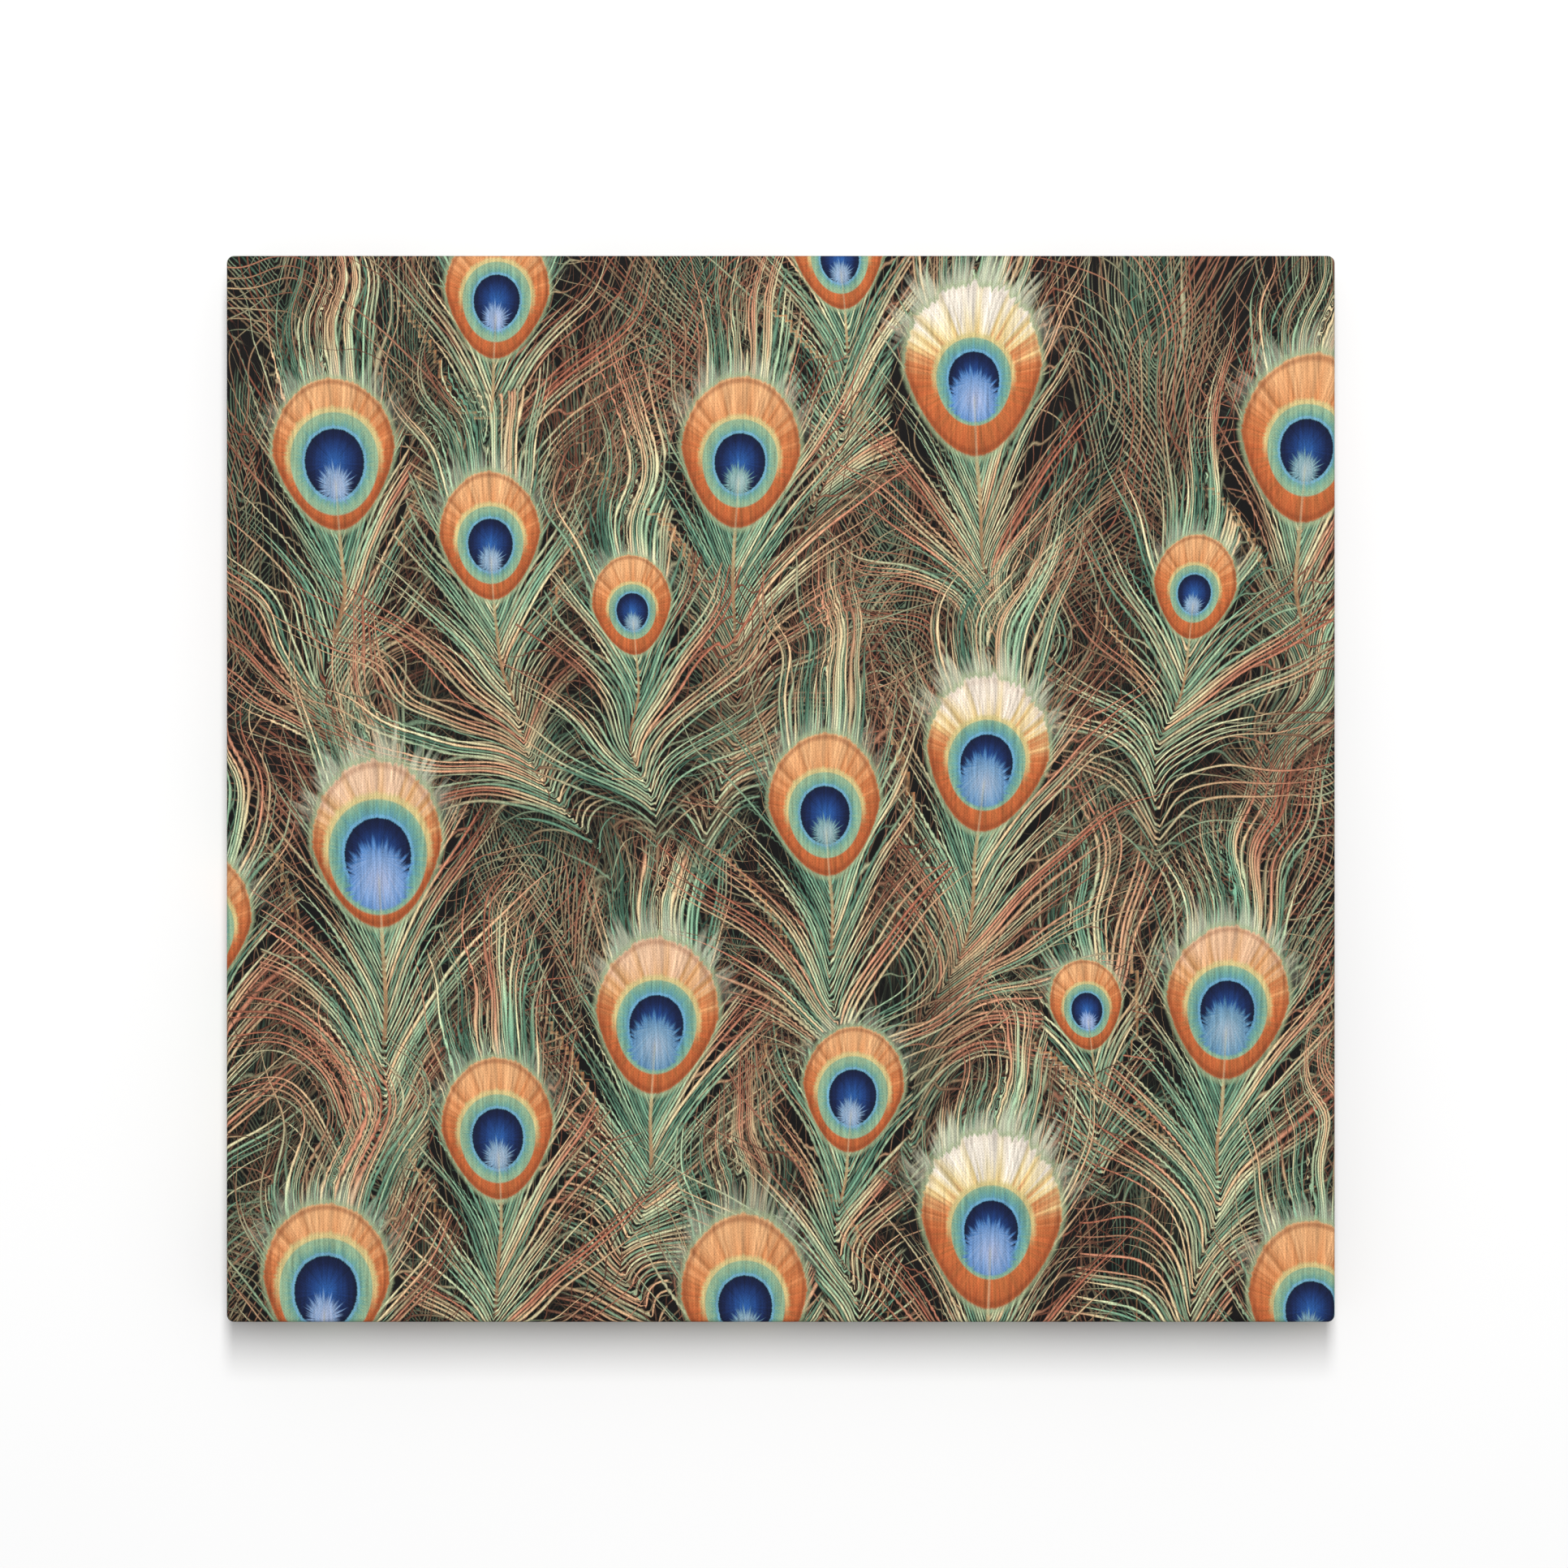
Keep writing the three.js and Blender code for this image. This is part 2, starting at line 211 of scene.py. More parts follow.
def barbs(x, y, feather, seed, eye_flow):
    """How one feather's barbs run: which barb a point is on, how far along it is, in
    millimetres, the distance from the shaft, how far inside the last barb it lies, and how
    far down the shaft its barb starts."""
    half = feather[2]
    ex, ey, loose = drifting(x, y, feather, seed)
    rng = np.random.default_rng(900 + seed)
    across = np.abs(ex)
    spread = rng.uniform(0.28, 0.42)
    top, foot = (-1.0 if eye_flow > TUFT_FLOW else 0.5), -8.0
    rise = rng.uniform(1.5, 2.0)  # barbs start nearly along the shaft and then bend outwards
    upward = 0.16 * across + rise * (1 - np.exp(-across / 0.7))
    flow = upward + eye_flow * np.arctan2(across, ey) + spread * shaft_spread(across, ey, foot, top)
    at_eye = eye_flow * math.pi
    start = np.minimum(top - (flow - at_eye) / (spread * math.pi), 0)
    start = np.where(flow < at_eye, 0.0, start)
    along = np.hypot(across, ey - start)
    last = at_eye + spread * math.pi * (top - foot)
    which = flow * half
    bunch = rng.uniform(9, 13)
    parted = smooth(along * half, 6, 30) * 0.13 * bunch
    sway = 0.9 * np.sin(which * 0.07 + seed)
    which = which + parted * np.sin(which * 2 * math.pi / bunch + np.sign(ex) * 1.3 * loose + sway)
    depth = np.maximum(-start, 0)
    return which, along * half, ex * half, (last - flow) * half, depth


def eye_radius(ex, ey):
    """1 on the rim of the eye."""
    foot = np.clip(ey, EYE_NARROWS_TO, 0)
    return np.hypot(ex / (1 + EYE_TAPER * foot), ey / np.where(ey > 0, EYE_TOP, EYE_FOOT))


def layer_of_each():
    """Feathers from the top down, each in the first layer where it has room."""
    layers = {}
    for i in sorted(range(len(FEATHERS)), key=lambda i: -FEATHERS[i][1]):
        x, y = FEATHERS[i][:2]
        gaps = []
        for layer in range(LAYERS):
            others = [FEATHERS[j] for j in layers if layers[j] == layer]
            apart = [math.hypot(x - other[0], (y - other[1]) / UPRIGHT) for other in others]
            gaps.append(min(apart, default=NO_STRAND))
        roomy = [layer for layer in range(LAYERS) if gaps[layer] > CLEAR_OF_EACH_OTHER]
        layers[i] = roomy[0] if roomy else int(np.argmax(gaps))
    return layers


def around_eyes(x, y):
    """Scaled distance to the nearest eye, and whose it is: others' barbs stay off it."""
    nearest = np.full(x.shape, 9.0)
    whose = np.full(x.shape, -1)
    for i, feather in enumerate(FEATHERS):
        ex, ey = on_feather(x, y, *feather[:4])
        reach = np.hypot(ex / 1.3, (ey + 0.35) / 1.65)
        whose = np.where(reach < nearest, i, whose)
        nearest = np.minimum(reach, nearest)
    return nearest, whose


def lay_plumes(x, y, members, first_seed, eye_flow):
    """Fields for a layer of plumes on the cloth's grid: the nearest plume wins each point."""
    rows, columns = y[:, 0], x[0]
    best = np.full(x.shape, 1e9)
    second = best.copy()
    names = ("which", "off", "inside", "hue", "crowd", "depth")
    fields = {key: np.zeros(x.shape) for key in names}
    fields["along"] = np.full(x.shape, NO_STRAND)
    fields["plume"] = np.full(x.shape, -1)
    for i, feather in members:
        which, along, off, inside, depth = barbs(x, y, feather, first_seed + i, eye_flow)
        # the lowest barbs are short, so they soon leave their ground to the next plume
        along = along / np.maximum(smooth(inside, 0, 45), 0.05)
        down, right = np.gradient(which, rows, columns)
        stripe = np.sin(which * 0.31 + 2 * np.sin(which * 0.11 + i) + along * 0.03)
        stripe = stripe + 0.7 * np.sin(which * 0.13 + i * 1.7)
        drift = smooth(wander(x, y, 60, 100 + first_seed + i), -0.2, 1.0)
        hue = mix(0.20, 0.52, smooth(along, 14, 60)) + 0.17 * stripe * smooth(along, 6, 25)
        values = {
            "which": which,
            "along": along,
            "off": off,
            "inside": inside,
            "depth": depth,
            "hue": hue + 0.17 * drift + 0.20 * smooth(depth, 1.2, 4.5),
            "crowd": np.minimum(np.hypot(down, right), 2.2),
            "plume": i,
        }
        near = along < best
        second = np.where(near, best, np.minimum(second, along))
        best = np.where(near, along, best)
        for key, value in values.items():
            fields[key] = np.where(near, value, fields[key])
    fields["room"] = np.minimum(np.minimum(second - best, 0.35 * fields["inside"]), ROOMY)
    dense = (1 - smooth(fields["depth"], 1.0, 2.4)) * (1 - smooth(fields["along"], 6, 24))
    fields["side"] = np.clip(fields["off"], -1, 1) * (BARE + dense)
    return fields


def lay_strays(x, y, lean, seed):
    """Fields for long loose barbs that cross the gaps between the plumes."""
    c, s = math.cos(math.radians(lean)), math.sin(math.radians(lean))
    across = c * x - s * y + 15 * wander(x, y, 90, seed) + 4 * wander(x, y, 34, seed + 1)
    down, right = np.gradient(across, y[:, 0], x[0])
    return {
        "which": across,
        "along": 45 + 45 * wander(x, y, 60, seed + 2),
        "room": np.full(x.shape, ROOMY),
        "hue": 0.62 + 0.3 * wander(x, y, 80, seed + 3),
        "side": np.full(x.shape, BARE),
        "crowd": np.minimum(np.hypot(down, right), 2.2),
    }


def print_fields(x, y):
    """Every field that the print needs at the cloth's grid points, by attribute name."""
    reach, whose = around_eyes(x, y)
    fields = {}

    def keep(name, plumes, mask):
        room = np.minimum(plumes["room"], mask * ROOMY)
        fields[name + "_run"] = np.stack([plumes["which"], plumes["along"], room], -1)
        fields[name + "_look"] = np.stack([plumes["hue"], plumes["side"], plumes["crowd"]], -1)

    for layer, tufts in enumerate(TUFTS):
        plumes = lay_plumes(x, y, list(enumerate(tufts)), TUFT_SEED + 40 * layer, TUFT_FLOW)
        keep(f"tuft_{layer}", plumes, smooth(reach, 0.9, 1.1))
    for layer, lean in enumerate(STRAY_LEANS):
        keep(f"stray_{layer}", lay_strays(x, y, lean, STRAY_SEED + 10 * layer), 1.0)
    layers = layer_of_each()
    for layer in range(LAYERS):
        members = [(i, f) for i, f in enumerate(FEATHERS) if layers[i] == layer]
        plumes = lay_plumes(x, y, members, 0, FEATHER_FLOW)
        under_another = np.where(whose == plumes["plume"], 0.0, 1.0)
        mask = 1 - under_another * (1 - smooth(reach, 0.85, 1.1))
        keep(f"plume_{layer}", plumes, mask)

    nearest = np.full(x.shape, 9.0)
    second = nearest.copy()
    eye = {key: np.zeros(x.shape) for key in ("ex", "ey", "pale", "core", "fan")}
    for i, feather in enumerate(FEATHERS):
        ex, ey, _ = drifting(x, y, feather, i)
        radius = eye_radius(ex, ey)
        near = radius < nearest
        second = np.where(near, nearest, np.minimum(second, radius))
        nearest = np.minimum(radius, nearest)
        values = dict(zip(eye, (ex, ey, feather[4], feather[5], feather[6])))
        for key, value in values.items():
            eye[key] = np.where(near, value, eye[key])
    there = smooth(second - nearest, 0.05, 0.25) * (1 - smooth(nearest, 3.2, 3.6))
    fields["eye_place"] = np.stack([eye["ex"], eye["ey"], there], -1)
    fields["eye_look"] = np.stack([eye["pale"], eye["core"], eye["fan"]], -1)
    return fields


# ---------------------------------------------------------------------------
# Shader painting
# ---------------------------------------------------------------------------


class Painter:
    """Adds nodes to one tree in the order they are worked out, and hands back their outputs."""

    def __init__(self, tree):
        self.tree = tree

    def add(self, kind, inputs=(), **settings):
        node = self.tree.nodes.new(kind)
        for name, value in settings.items():
            setattr(node, name, value)
        for key, value in dict(inputs).items():
            if isinstance(value, bpy.types.NodeSocket):
                self.tree.links.new(value, node.inputs[key])
            else:
                node.inputs[key].default_value = value
        return node

    def field(self, name):
        """A field of the mesh."""
        return self.add("ShaderNodeAttribute", attribute_name=name).outputs["Color"]

    def split(self, values):
        return self.add("ShaderNodeSeparateColor", {0: values}).outputs

    def math(self, operation, *values):
        return self.add("ShaderNodeMath", enumerate(values), operation=operation).outputs[0]

    def times(self, a, b):
        return self.math("MULTIPLY", a, b)

    def fit(self, value, scale, shift):
        return self.math("MULTIPLY_ADD", value, scale, shift)

    def step(self, value, low, high, start=0.0, end=1.0):
        """Smoothly from start at low to end at high. A smooth step can't leave that range, and
        a clamp would cost each one a second node: too many for one shader."""
        inputs = {0: value, 1: low, 2: high, 3: start, 4: end}
        kind = dict(interpolation_type="SMOOTHSTEP", clamp=False)
        return self.add("ShaderNodeMapRange", inputs, **kind).outputs[0]

    def fade(self, value, low, high, start=1.0):
        return self.step(value, low, high, start, 0.0)

    def ramp(self, value, stops):
        node = self.add("ShaderNodeValToRGB", {0: value})
        points = node.color_ramp.elements
        while len(points) < len(stops):
            points.new(0.5)
        for point, (place, colour) in zip(points, stops):
            point.position = place
            point.color = linear(colour)
        return node.outputs[0]

    def over(self, below, colour, cover, clamp=True):
        """colour laid over below."""
        node = self.add("ShaderNodeMix", {0: cover}, data_type="RGBA", clamp_factor=clamp)
        for socket, value in ((node.inputs[6], below), (node.inputs[7], colour)):
            if isinstance(value, str):
                socket.default_value = linear(value)
            else:
                self.tree.links.new(value, socket)
        return node.outputs[2]

    def shade(self, colour, light):
        """colour, lighter or darker."""
        return self.over("#000000", colour, light, clamp=False)

    def length(self, x, y):
        return self.math("SQRT", self.fit(x, x, self.times(y, y)))

    def point(self, x, y=0.0):
        return self.add("ShaderNodeCombineXYZ", {0: x, 1: y}).outputs[0]

    def stretch(self, where, scale):
        inputs = {0: where, 1: scale}
        return self.add("ShaderNodeVectorMath", inputs, operation="MULTIPLY").outputs[0]

    def noise(self, where, scale, detail=0.0, dimensions="3D"):
        inputs = {"Vector": where, "Scale": scale, "Detail": detail}
        return self.add("ShaderNodeTexNoise", inputs, noise_dimensions=dimensions).outputs[0]

    def coat(self, shader, colour, height=None, strength=0.0, depth=0.1):
        """Gives a shader its colour, and bumps that are depth millimetres high."""
        self.tree.links.new(colour, shader.inputs["Base Color"])
        if height is not None:
            inputs = {"Height": height, "Strength": strength, "Distance": depth * MM}
            bump = self.add("ShaderNodeBump", inputs).outputs[0]
            self.tree.links.new(bump, shader.inputs["Normal"])


def linear(colour):
    """A hex colour as the linear colour that nodes hold."""
    parts = [int(colour[i : i + 2], 16) / 255 for i in (1, 3, 5)]
    return [p / 12.92 if p <= 0.04045 else ((p + 0.055) / 1.055) ** 2.4 for p in parts] + [1.0]


def new_material(name, roughness, **sockets):
    """A material with one Principled shader. What is the same all over is set on its sockets."""
    material = bpy.data.materials.new(name)
    material.use_nodes = True
    tree = material.node_tree
    shader = tree.nodes["Principled BSDF"]
    shader.inputs["Roughness"].default_value = roughness
    for key, value in sockets.items():
        shader.inputs[key.replace("_", " ")].default_value = value
    return material, Painter(tree), shader


BARB_COLOURS = [
    (0.0, "#456d59"),
    (0.16, "#6f9c80"),
    (0.34, "#95b28f"),
    (0.48, "#c6c29a"),
    (0.62, "#c5a67f"),
    (0.8, "#b57d62"),
    (1.0, "#955a45"),
]
GROUND_COLOUR = "#120f0e"
SHAFT_COLOURS = [(0, "#d6c795"), (0.5, "#b98f66"), (1, "#94664a")]

# An eye's colours. Its field runs outwards or up, its ring, core and fan run outwards.
ORANGE_COLOURS = [(0, "#c4824f"), (0.45, "#c6733f"), (0.8, "#b55e33"), (1, "#994a26")]
PEACH_COLOURS = [(0, "#ca7641"), (0.5, "#d6935d"), (1, "#dfab79")]
WHITE_COLOURS = [
    (0, "#cd8752"),
    (0.35, "#dba873"),
    (0.6, "#dfc588"),
    (0.85, "#e2d3b0"),
    (1, "#e4dacb"),
]
RING_COLOURS = [(0, "#4f90c4"), (0.35, "#609eae"), (0.7, "#74a898"), (1, "#97b693")]
NAVY_COLOURS = [(0, "#2c62ab"), (0.45, "#1a3c78"), (0.75, "#10204a"), (1, "#0b1530")]
TEAL_FAN_COLOURS = [(0, "#a8bfbc"), (0.5, "#74a2a0"), (1, "#3f7a90")]
BLUE_FAN_COLOURS = [(0, "#aab6d6"), (0.5, "#86a6d4"), (1, "#4d82c0")]
HALO_COLOUR = "#dadcc0"
FRINGE_COLOUR = "#a9b78d"
RIM_COLOUR = "#8a4424"
CREAM_COLOUR = "#dccb8c"
OUTLINE_COLOUR = "#79b3db"
CORE_LINE_COLOUR = "#cfc7a0"

INK_LIGHT = 0.76  # the cloth dulls the ink
EDGE_OF_BARB = 0.1  # millimetres over which a barb's edge fades


def barb_group():
    """A node group that draws one set of barbs over what is below."""
    tree = bpy.data.node_groups.new("barbs", "ShaderNodeTree")
    sockets = [
        ("Below", "NodeSocketColor"),
        ("Run", "NodeSocketColor"),  # which barb, how far along it, room to the next plume
        ("Look", "NodeSocketColor"),  # hue, side of the shaft, how crowded the barbs are
        ("Pitch", "NodeSocketFloat"),  # their spacing where they leave the shaft
        ("Slant", "NodeSocketFloat"),  # turns them across the flow
        ("Width", "NodeSocketFloat"),
        ("Reach", "NodeSocketFloat"),  # length of the longest
        ("Light", "NodeSocketFloat"),
        ("Hue", "NodeSocketFloat"),
        ("Seed", "NodeSocketFloat"),
        ("Vane", "NodeSocketFloat"),  # how dense they are near the eye
    ]
    for name, kind in sockets:
        tree.interface.new_socket(name, in_out="INPUT", socket_type=kind)
    tree.interface.new_socket("Over", in_out="OUTPUT", socket_type="NodeSocketColor")
    paint = Painter(tree)
    given = tree.nodes.new("NodeGroupInput").outputs
    which, along, room = paint.split(given["Run"])
    base_hue, shaft_side, crowd = paint.split(given["Look"])
    place = paint.math("DIVIDE", which, given["Pitch"])
    place = paint.fit(along, given["Slant"], place)
    barb = paint.math("FLOOR", place)
    inside = paint.math("PINGPONG", place, 0.5)
    crowding = paint.math("DIVIDE", crowd, given["Pitch"])
    slant = paint.times(given["Slant"], given["Slant"])
    crowding = paint.math("SQRT", paint.fit(crowding, crowding, slant))
    side = paint.math("GREATER_THAN", shaft_side, 0.0)
    number = paint.math("ADD", barb, paint.fit(side, 517.0, given["Seed"]))
    own = paint.add("ShaderNodeTexWhiteNoise", {"W": number}, noise_dimensions="1D")
    red, green, blue = paint.split(own.outputs["Color"])

    # how wide the barb is here, and how far it goes
    tip = paint.times(paint.fit(red, 0.85, 0.35), given["Reach"])
    taper = paint.fade(along, paint.times(tip, 0.45), tip)
    half = paint.times(paint.fit(green, 0.375, 0.275), given["Width"])
    half = paint.times(half, crowding)
    dense = paint.math("SUBTRACT", paint.math("ABSOLUTE", shaft_side), BARE)
    half = paint.fit(half, taper, paint.times(dense, given["Vane"]))
    edge = paint.math("SUBTRACT", 0.5, paint.math("MINIMUM", half, 0.5))
    low = paint.fit(crowding, -EDGE_OF_BARB, edge)
    high = paint.fit(crowding, EDGE_OF_BARB, edge)
    cover = paint.times(paint.step(inside, low, high), paint.step(taper, 0.0, 0.15))
    room = paint.fit(blue, -10.0, room)
    cover = paint.times(cover, paint.step(room, 2.0, 6.0))

    # its colour
    light = paint.times(paint.step(inside, edge, 0.5, 0.5, 1.18), given["Light"])
    light = paint.times(light, paint.fit(blue, 0.75, 0.55))
    hue = paint.math("ADD", base_hue, given["Hue"])
    hue = paint.fit(blue, 0.36, hue)
    hue = paint.fit(red, 0.30, hue)
    colour = paint.shade(paint.ramp(paint.math("SUBTRACT", hue, 0.33), BARB_COLOURS), light)
    result = paint.over(given["Below"], colour, cover)
    out = tree.nodes.new("NodeGroupOutput")
    tree.links.new(result, out.inputs["Over"])
    return tree


# What the barb group is given for each kind of barb. A plume's darkest lie lowest.
TUFT_STRANDS = dict(Pitch=2.6, Slant=0, Width=0.62, Reach=130, Hue=0.14)
STRAY_STRANDS = dict(Pitch=3.3, Slant=0, Width=0.42, Reach=90, Light=0.85, Hue=0)
PLUME_STRANDS = [
    dict(Pitch=3.4, Slant=0.20, Width=0.42, Reach=80, Light=0.42, Hue=0.24),
    dict(Pitch=2.7, Slant=-0.08, Width=0.48, Reach=76, Light=0.68, Hue=0.08),
    dict(Pitch=2.0, Slant=0, Width=0.66, Reach=78, Light=1.38, Hue=0.01, Vane=0.10),
]


def draw_barbs(paint, group, below, fields, **values):
    node = paint.add("ShaderNodeGroup", node_tree=group)
    for name, socket in zip(("Below", "Run", "Look"), (below, *fields)):
        paint.tree.links.new(socket, node.inputs[name])
    for name, value in values.items():
        node.inputs[name].default_value = value
    return node.outputs["Over"]


def shadow_under(paint, below, run, low, high, depth):
    """Darkens what lies under the thick of a plume."""
    _, along, room = paint.split(run)
    shadow = paint.times(paint.fade(along, low, high, depth), paint.step(room, 2.5, 12.0))
    return paint.shade(below, paint.math("SUBTRACT", 1.0, shadow))


def fields_of(paint, name):
    return paint.field(name + "_run"), paint.field(name + "_look")


def draw_tufts(paint, group, below, layer):
    fields = fields_of(paint, f"tuft_{layer}")
    below = shadow_under(paint, below, fields[0], 10, 40, 0.6)
    light = 0.5 + 0.2 * layer
    return draw_barbs(paint, group, below, fields, Light=light, Seed=50 + layer, **TUFT_STRANDS)


def draw_strays(paint, group, below, layer):
    fields = fields_of(paint, f"stray_{layer}")
    return draw_barbs(paint, group, below, fields, Seed=70 + layer, **STRAY_STRANDS)


def draw_plumes(paint, group, below, layer):
    fields = fields_of(paint, f"plume_{layer}")
    below = shadow_under(paint, below, fields[0], 14, 58, 0.96)
    for number, strands in enumerate(PLUME_STRANDS, 1):
        below = draw_barbs(paint, group, below, fields, Seed=10 * number + layer, **strands)
    return below


def strokes(paint, across, up, count, seed):
    """Fine strokes that fan out from a point, 0 to 1."""
    angle = paint.math("ARCTAN2", across, up)
    place = paint.point(paint.fit(angle, count / (2 * math.pi), seed * 37.0), 0.5)
    return paint.fit(paint.noise(place, 1.0, 1.0, "2D"), 1.7, -0.35)


def draw_eyes(paint, below):
    """The eyes, from the fringe inwards. Radii are shares of each eye's own size."""
    ex, ey, there = paint.split(paint.field("eye_place"))
    pale, core, fan = paint.split(paint.field("eye_look"))
    foot = paint.math("MINIMUM", paint.math("MAXIMUM", ey, EYE_NARROWS_TO), 0.0)
    squash = paint.fit(foot, EYE_TAPER, 1.0)
    tall = paint.fit(paint.math("GREATER_THAN", ey, 0.0), EYE_TOP - EYE_FOOT, EYE_FOOT)
    radius = paint.length(paint.math("DIVIDE", ex, squash), paint.math("DIVIDE", ey, tall))
    elsewhere = paint.fit(there, -9.0, 9.0)
    rise = paint.math("ADD", ey, CORE_DROP)
    fine = strokes(paint, ex, rise, 150, 1)
    coarse = strokes(paint, ex, rise, 74, 2)
    white_top = paint.step(pale, 0.5, 1.0)
    open_fan = paint.step(pale, 0.5, 0.7)

    # the shaft below the eye
    line = paint.fade(paint.math("ABSOLUTE", ex), 0.012, 0.042, 0.85)
    line = paint.times(line, paint.step(ey, -4.2, -2.6))
    line = paint.times(line, paint.fade(ey, -1.0, -0.9))
    shaft = paint.ramp(paint.fit(ey, -0.4, -0.4), SHAFT_COLOURS)
    below = paint.over(below, shaft, paint.times(line, there))

    # the fringe and the orange field
    ragged = paint.math("SUBTRACT", fine, 0.5)
    upper = paint.step(ey, -0.6, 0.6, 0.01, 0.035)
    feathered = paint.times(white_top, paint.step(ey, 0.2, 1.0, 0.0, 0.10))
    edge = paint.fit(ragged, paint.math("ADD", upper, feathered), radius)
    up = paint.step(paint.fit(coarse, 0.3, paint.math("SUBTRACT", ey, 0.15)), -0.5, 1.05)
    toward_rim = paint.fit(fine, 0.35, paint.fit(radius, 0.9, -0.175))
    low = paint.ramp(toward_rim, ORANGE_COLOURS)
    toward_top = paint.fit(coarse, 0.3, paint.fit(up, 0.9, -0.15))
    middle = paint.ramp(toward_top, PEACH_COLOURS)
    toward_white = paint.fit(coarse, 0.3, paint.math("SUBTRACT", up, 0.15))
    high = paint.ramp(toward_white, WHITE_COLOURS)
    field = paint.over(low, middle, paint.times(up, 0.9))
    field = paint.over(field, high, paint.times(white_top, paint.step(up, 0.1, 0.7)))
    light = paint.times(paint.fit(fine, 0.55, 0.83), paint.fit(coarse, 0.22, 0.95))
    field = paint.shade(field, light)
    halo = paint.fade(paint.fit(ragged, -0.5, radius), 1.0, 1.36, 0.75)
    halo = paint.times(halo, paint.step(ey, 0.1, 1.0))
    halo = paint.times(halo, paint.times(paint.fit(pale, 0.7, 0.25), there))
    below = paint.over(below, HALO_COLOUR, halo)
    fringe = paint.times(paint.fade(edge, 1.01, 1.09, 0.65), there)
    below = paint.over(below, FRINGE_COLOUR, fringe)
    below = paint.over(below, field, paint.times(paint.fade(edge, 0.97, 1.01), there))
    rim = paint.times(paint.step(radius, 0.88, 0.94), paint.fade(radius, 0.95, 0.99, 0.5))
    not_white = paint.times(white_top, paint.step(ey, 0, 0.6, 0, 0.85))
    rim = paint.times(rim, paint.math("SUBTRACT", 1.0, not_white))
    below = paint.over(below, RIM_COLOUR, paint.times(rim, there))

    # the core: a cream ring, turquoise into blue, navy, and a fan that opens upwards
    share = paint.math("DIVIDE", rise, core)
    tall = paint.fit(paint.math("GREATER_THAN", rise, 0.0), 0.02, 0.84)
    wide = paint.times(ex, paint.fit(share, -0.05, 1.0))
    inner = paint.length(wide, paint.times(rise, tall))
    inner = paint.math("ADD", paint.math("DIVIDE", inner, core), elsewhere)
    frayed = paint.fit(ragged, 0.05, inner)
    cream = paint.times(paint.fade(frayed, 1.10, 1.22, 0.92), paint.step(share, -0.5, 0.3))
    below = paint.over(below, CREAM_COLOUR, cream)
    greener = paint.fit(open_fan, -0.22, 0.22)
    place = paint.math("ADD", paint.fit(inner, 1 / 0.45, -0.6 / 0.45), greener)
    ring = paint.ramp(paint.fit(ragged, 0.25, place), RING_COLOURS)
    below = paint.over(below, ring, paint.fade(inner, 1.02, 1.07))
    frayed = paint.fit(ragged, 0.02, inner)
    outline = paint.times(paint.step(frayed, 0.70, 0.72), paint.fade(frayed, 0.75, 0.79, 0.6))
    below = paint.over(below, OUTLINE_COLOUR, outline)
    navy = paint.ramp(paint.math("DIVIDE", inner, 0.72), NAVY_COLOURS)
    navy = paint.shade(navy, paint.fit(fine, 0.5, 0.75))
    below = paint.over(below, navy, paint.fade(frayed, 0.69, 0.72))
    fan_up = paint.fit(core, 0.52, rise)
    spread = paint.length(paint.times(ex, 0.95), paint.times(fan_up, 0.8))
    spread = paint.math("DIVIDE", spread, core)
    rays = strokes(paint, ex, paint.fit(core, 0.1, fan_up), 96, 3)
    wider = paint.fit(open_fan, 0.30, -0.06)
    spiky = paint.fit(rays, 0.24, paint.math("SUBTRACT", spread, wider))
    place = paint.fit(ragged, 0.4, paint.times(spread, 1.5))
    teal = paint.ramp(place, TEAL_FAN_COLOURS)
    blue = paint.ramp(place, BLUE_FAN_COLOURS)
    cover = paint.times(paint.fade(spiky, 0.40, 0.60), paint.fade(inner, 0.92, 1.0))
    below = paint.over(below, paint.over(teal, blue, fan), cover)

    # the shaft, up into the core
    line = paint.fade(paint.math("ABSOLUTE", ex), 0.008, 0.026, 0.35)
    line = paint.times(line, paint.fade(share, -0.6, -0.3))
    line = paint.times(line, paint.fade(radius, 1.0, 1.05))
    return paint.over(below, CORE_LINE_COLOUR, line)


WEAVE_PITCH = 0.77  # of two threads side by side


def weave_of(paint, x, y):
    """Height of a plain weave of warp and weft, about 0 to 1, from cloth coordinates."""
    spin = 2 * math.pi / WEAVE_PITCH
    warp = paint.math("SINE", paint.times(x, spin))
    weft = paint.math("SINE", paint.times(y, spin))
    return paint.fit(paint.times(warp, weft), 0.5, 0.5)


def printed_canvas():
    material, paint, shader = new_material("printed_canvas", 0.85, Specular_IOR_Level=0.25)
    group = barb_group()
    below = paint.ramp(0.0, [(0, GROUND_COLOUR), (1, GROUND_COLOUR)])
    for layer in range(len(TUFTS)):
        below = draw_tufts(paint, group, below, layer)
    for layer in range(len(STRAY_LEANS)):
        below = draw_strays(paint, group, below, layer)
    for layer in range(LAYERS):
        below = draw_plumes(paint, group, below, layer)
    below = draw_eyes(paint, below)

    x, y, printed = paint.split(paint.field("cloth"))
    flat = paint.point(x, y)
    weave = weave_of(paint, x, y)
    streaks = paint.noise(paint.stretch(flat, (1.0, 0.06, 1.0)), 1.5, 1.0)
    speckle = paint.noise(flat, 2.6, 1.0)
    thread = paint.fit(streaks, 1.1, paint.fit(speckle, 0.9, -0.05))
    # Painted shade: the colour is darker in the hollows of the weave, where the bump is low. The
    # thread's own streaks and speckle are mixed in.
    weave_shade_and_streaks = paint.fit(weave, 0.24, thread)
    below = paint.shade(below, paint.times(weave_shade_and_streaks, INK_LIGHT))
    # The raw cloth past the print takes the same painted shade of the weave.
    raw = paint.shade(paint.over(below, "#e4dccb", 1.0), weave_shade_and_streaks)
    ragged_end = paint.fit(speckle, 0.2, printed)
    colour = paint.over(raw, below, paint.step(ragged_end, 0.45, 0.65))
    paint.coat(shader, colour, paint.fit(weave, 0.5, thread), 0.35)
    return material


